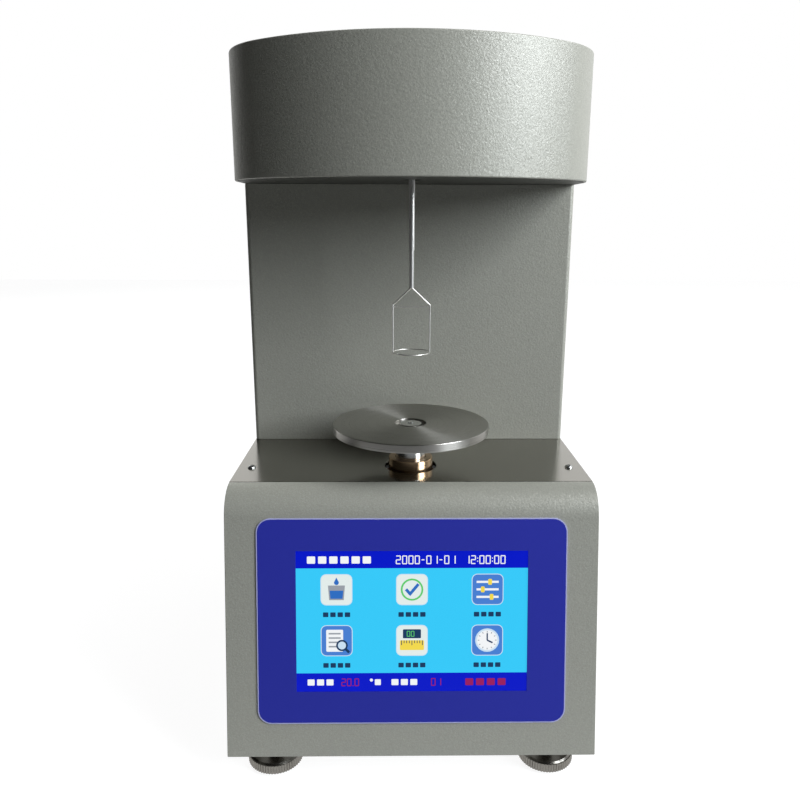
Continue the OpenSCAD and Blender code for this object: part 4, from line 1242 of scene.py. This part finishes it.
def screws(node, points, facing, head, material, recess=0.55, shank=(3.0, 6.0)):
    """Screws of one node: their places under the heads, and the width and height of the
    head, the recess's width and the shank's width and length, in millimetres."""
    piece = grown(
        node + "_turned",
        points,
        screw_tree,
        {
            "Head Width": head[0] * MM,
            "Head Height": head[1] * MM,
            "Recess Width": recess * MM,
            "Shank Width": shank[0] * MM,
            "Shank Length": shank[1] * MM,
            "Facing": facing,
            "Finish": material,
        },
    )
    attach(piece, "frame_body")
    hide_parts(node)


BACK_Y, PAN_Z = 125, 16.5
screws(
    "deck_screws",
    [(x, -71.87, DECK_Z) for x in (-85.1, 85.1)],
    facing=(0, 0, 1),
    head=(4.4, 1.5),
    material=zinc_plate,
    recess=0.5,
)
screws(
    "rear_screws",
    [(x, BACK_Y, z) for x in (-86, 86) for z in (25.5, 137.5)],
    facing=(0, 1, 0),
    head=(5.4, 1.8),
    material=black_oxide,
)
screws(
    "cover_screws",
    [(x, BACK_Y, z) for x in (-84, 84) for z in (159.5, 288)],
    facing=(0, 1, 0),
    head=(5.4, 1.8),
    material=black_oxide,
)
screws(
    "pan_screws",
    [(x, y, PAN_Z) for x in (-86, 86) for y in (-85, -2.5, 85)],
    facing=(0, 0, -1),
    head=(5.0, 1.6),
    material=zinc_plate,
    recess=0.6,
    shank=(2.5, 6.0),
)

# Ring and hanger ----------------------------------------------------------------------------
# A rod hangs from the weighing cell through the hood's floor. The ring plugs into it: a thin
# stem, a stirrup of bright wire brazed to it, and the measuring ring of finer wire.

rod_steel = grained(
    "rod_steel",
    (0.86, 0.86, 0.83),
    tone=0.06,
    rough=0.31,
    spread=0.05,
    scale=900,
    relief=0.000004,
    metal=1.0,
)
ring_metal = grained(
    "ring_metal",
    (0.80, 0.79, 0.75),
    tone=0.05,
    rough=0.38,
    spread=0.05,
    scale=1500,
    relief=0.000003,
    metal=1.0,
)
finish(rod_steel, "hanging_rod", "hanger_clevis", "overload_stop", "ring_stem")
finish(ring_metal, "ring_stirrup", "measuring_ring")

# Feet ---------------------------------------------------------------------------------------
# Turned steel wheels with a straight knurl, on threaded studs, each over a rubber pad.

foot_steel = grained(
    "foot_steel",
    (0.215, 0.205, 0.185),
    tone=0.5,
    rough=0.25,
    spread=0.1,
    scale=700,
    relief=0.00002,
    metal=1.0,
)
pad_rubber = grained(
    "pad_rubber",
    (0.02, 0.02, 0.02),
    tone=0.3,
    rough=0.7,
    spread=0.1,
    scale=700,
    relief=0.00005,
)
CORNERS = ("front_left", "front_right", "back_left", "back_right")
finish(foot_steel, *("foot_wheel_" + corner for corner in CORNERS))
finish(pad_rubber, *("foot_pad_" + corner for corner in CORNERS))

# Back panel ---------------------------------------------------------------------------------
# A mains inlet and a rocker switch of moulded black plastic, and a nine-pole socket.

black_mould = grained(
    "black_mould",
    (0.018, 0.018, 0.019),
    tone=0.2,
    rough=0.42,
    spread=0.1,
    scale=1200,
    relief=0.00003,
)
contact_metal = grained(
    "contact_metal",
    (0.62, 0.60, 0.55),
    tone=0.08,
    rough=0.26,
    spread=0.08,
    scale=600,
    relief=0.00001,
    metal=1.0,
)
softened("power_inlet", "frame_body", black_mould, edge=0.25)
softened("switch_housing", "frame_body", black_mould, edge=0.2)
finish(black_mould, "switch_rocker", "limit_switches")
finish(contact_metal, "inlet_pins", "serial_port")

# Works --------------------------------------------------------------------------------------
# What stands inside: the pan and its nuts, the lifting gear, the boards and the weighing
# cell. Milled aluminium, zinc-plated steel, bright cans and green boards.

milled_aluminium = grained(
    "milled_aluminium",
    (0.58, 0.59, 0.60),
    tone=0.06,
    rough=0.32,
    spread=0.08,
    scale=500,
    relief=0.00001,
    metal=1.0,
)
motor_paint = grained(
    "motor_paint",
    (0.02, 0.02, 0.022),
    tone=0.15,
    rough=0.4,
    spread=0.1,
    scale=900,
    relief=0.00003,
)
sheet_can = grained(
    "sheet_can",
    (0.52, 0.53, 0.54),
    tone=0.08,
    rough=0.3,
    spread=0.1,
    scale=300,
    relief=0.00001,
    metal=1.0,
)
solder_mask = grained(
    "solder_mask",
    (0.012, 0.12, 0.035),
    tone=0.2,
    rough=0.35,
    spread=0.1,
    scale=400,
    relief=0.00002,
)
finish(
    zinc_plate, "base_pan", "foot_nuts", "lift_pillars", "top_spacers", "display_straps"
)
finish(ground_steel, "guide_rods", "motor_shaft", "lead_screw")
finish(black_oxide, "cell_screws")
finish(sheet_can, "display_module", "power_supply")
finish(solder_mask, "control_board", "amplifier_board")
finish(motor_paint, "stepper_motor")
finish(
    milled_aluminium,
    "motor_plate",
    "shaft_coupling",
    "lift_top_plate",
    "carriage",
    "cell_bracket",
    "load_cell",
)
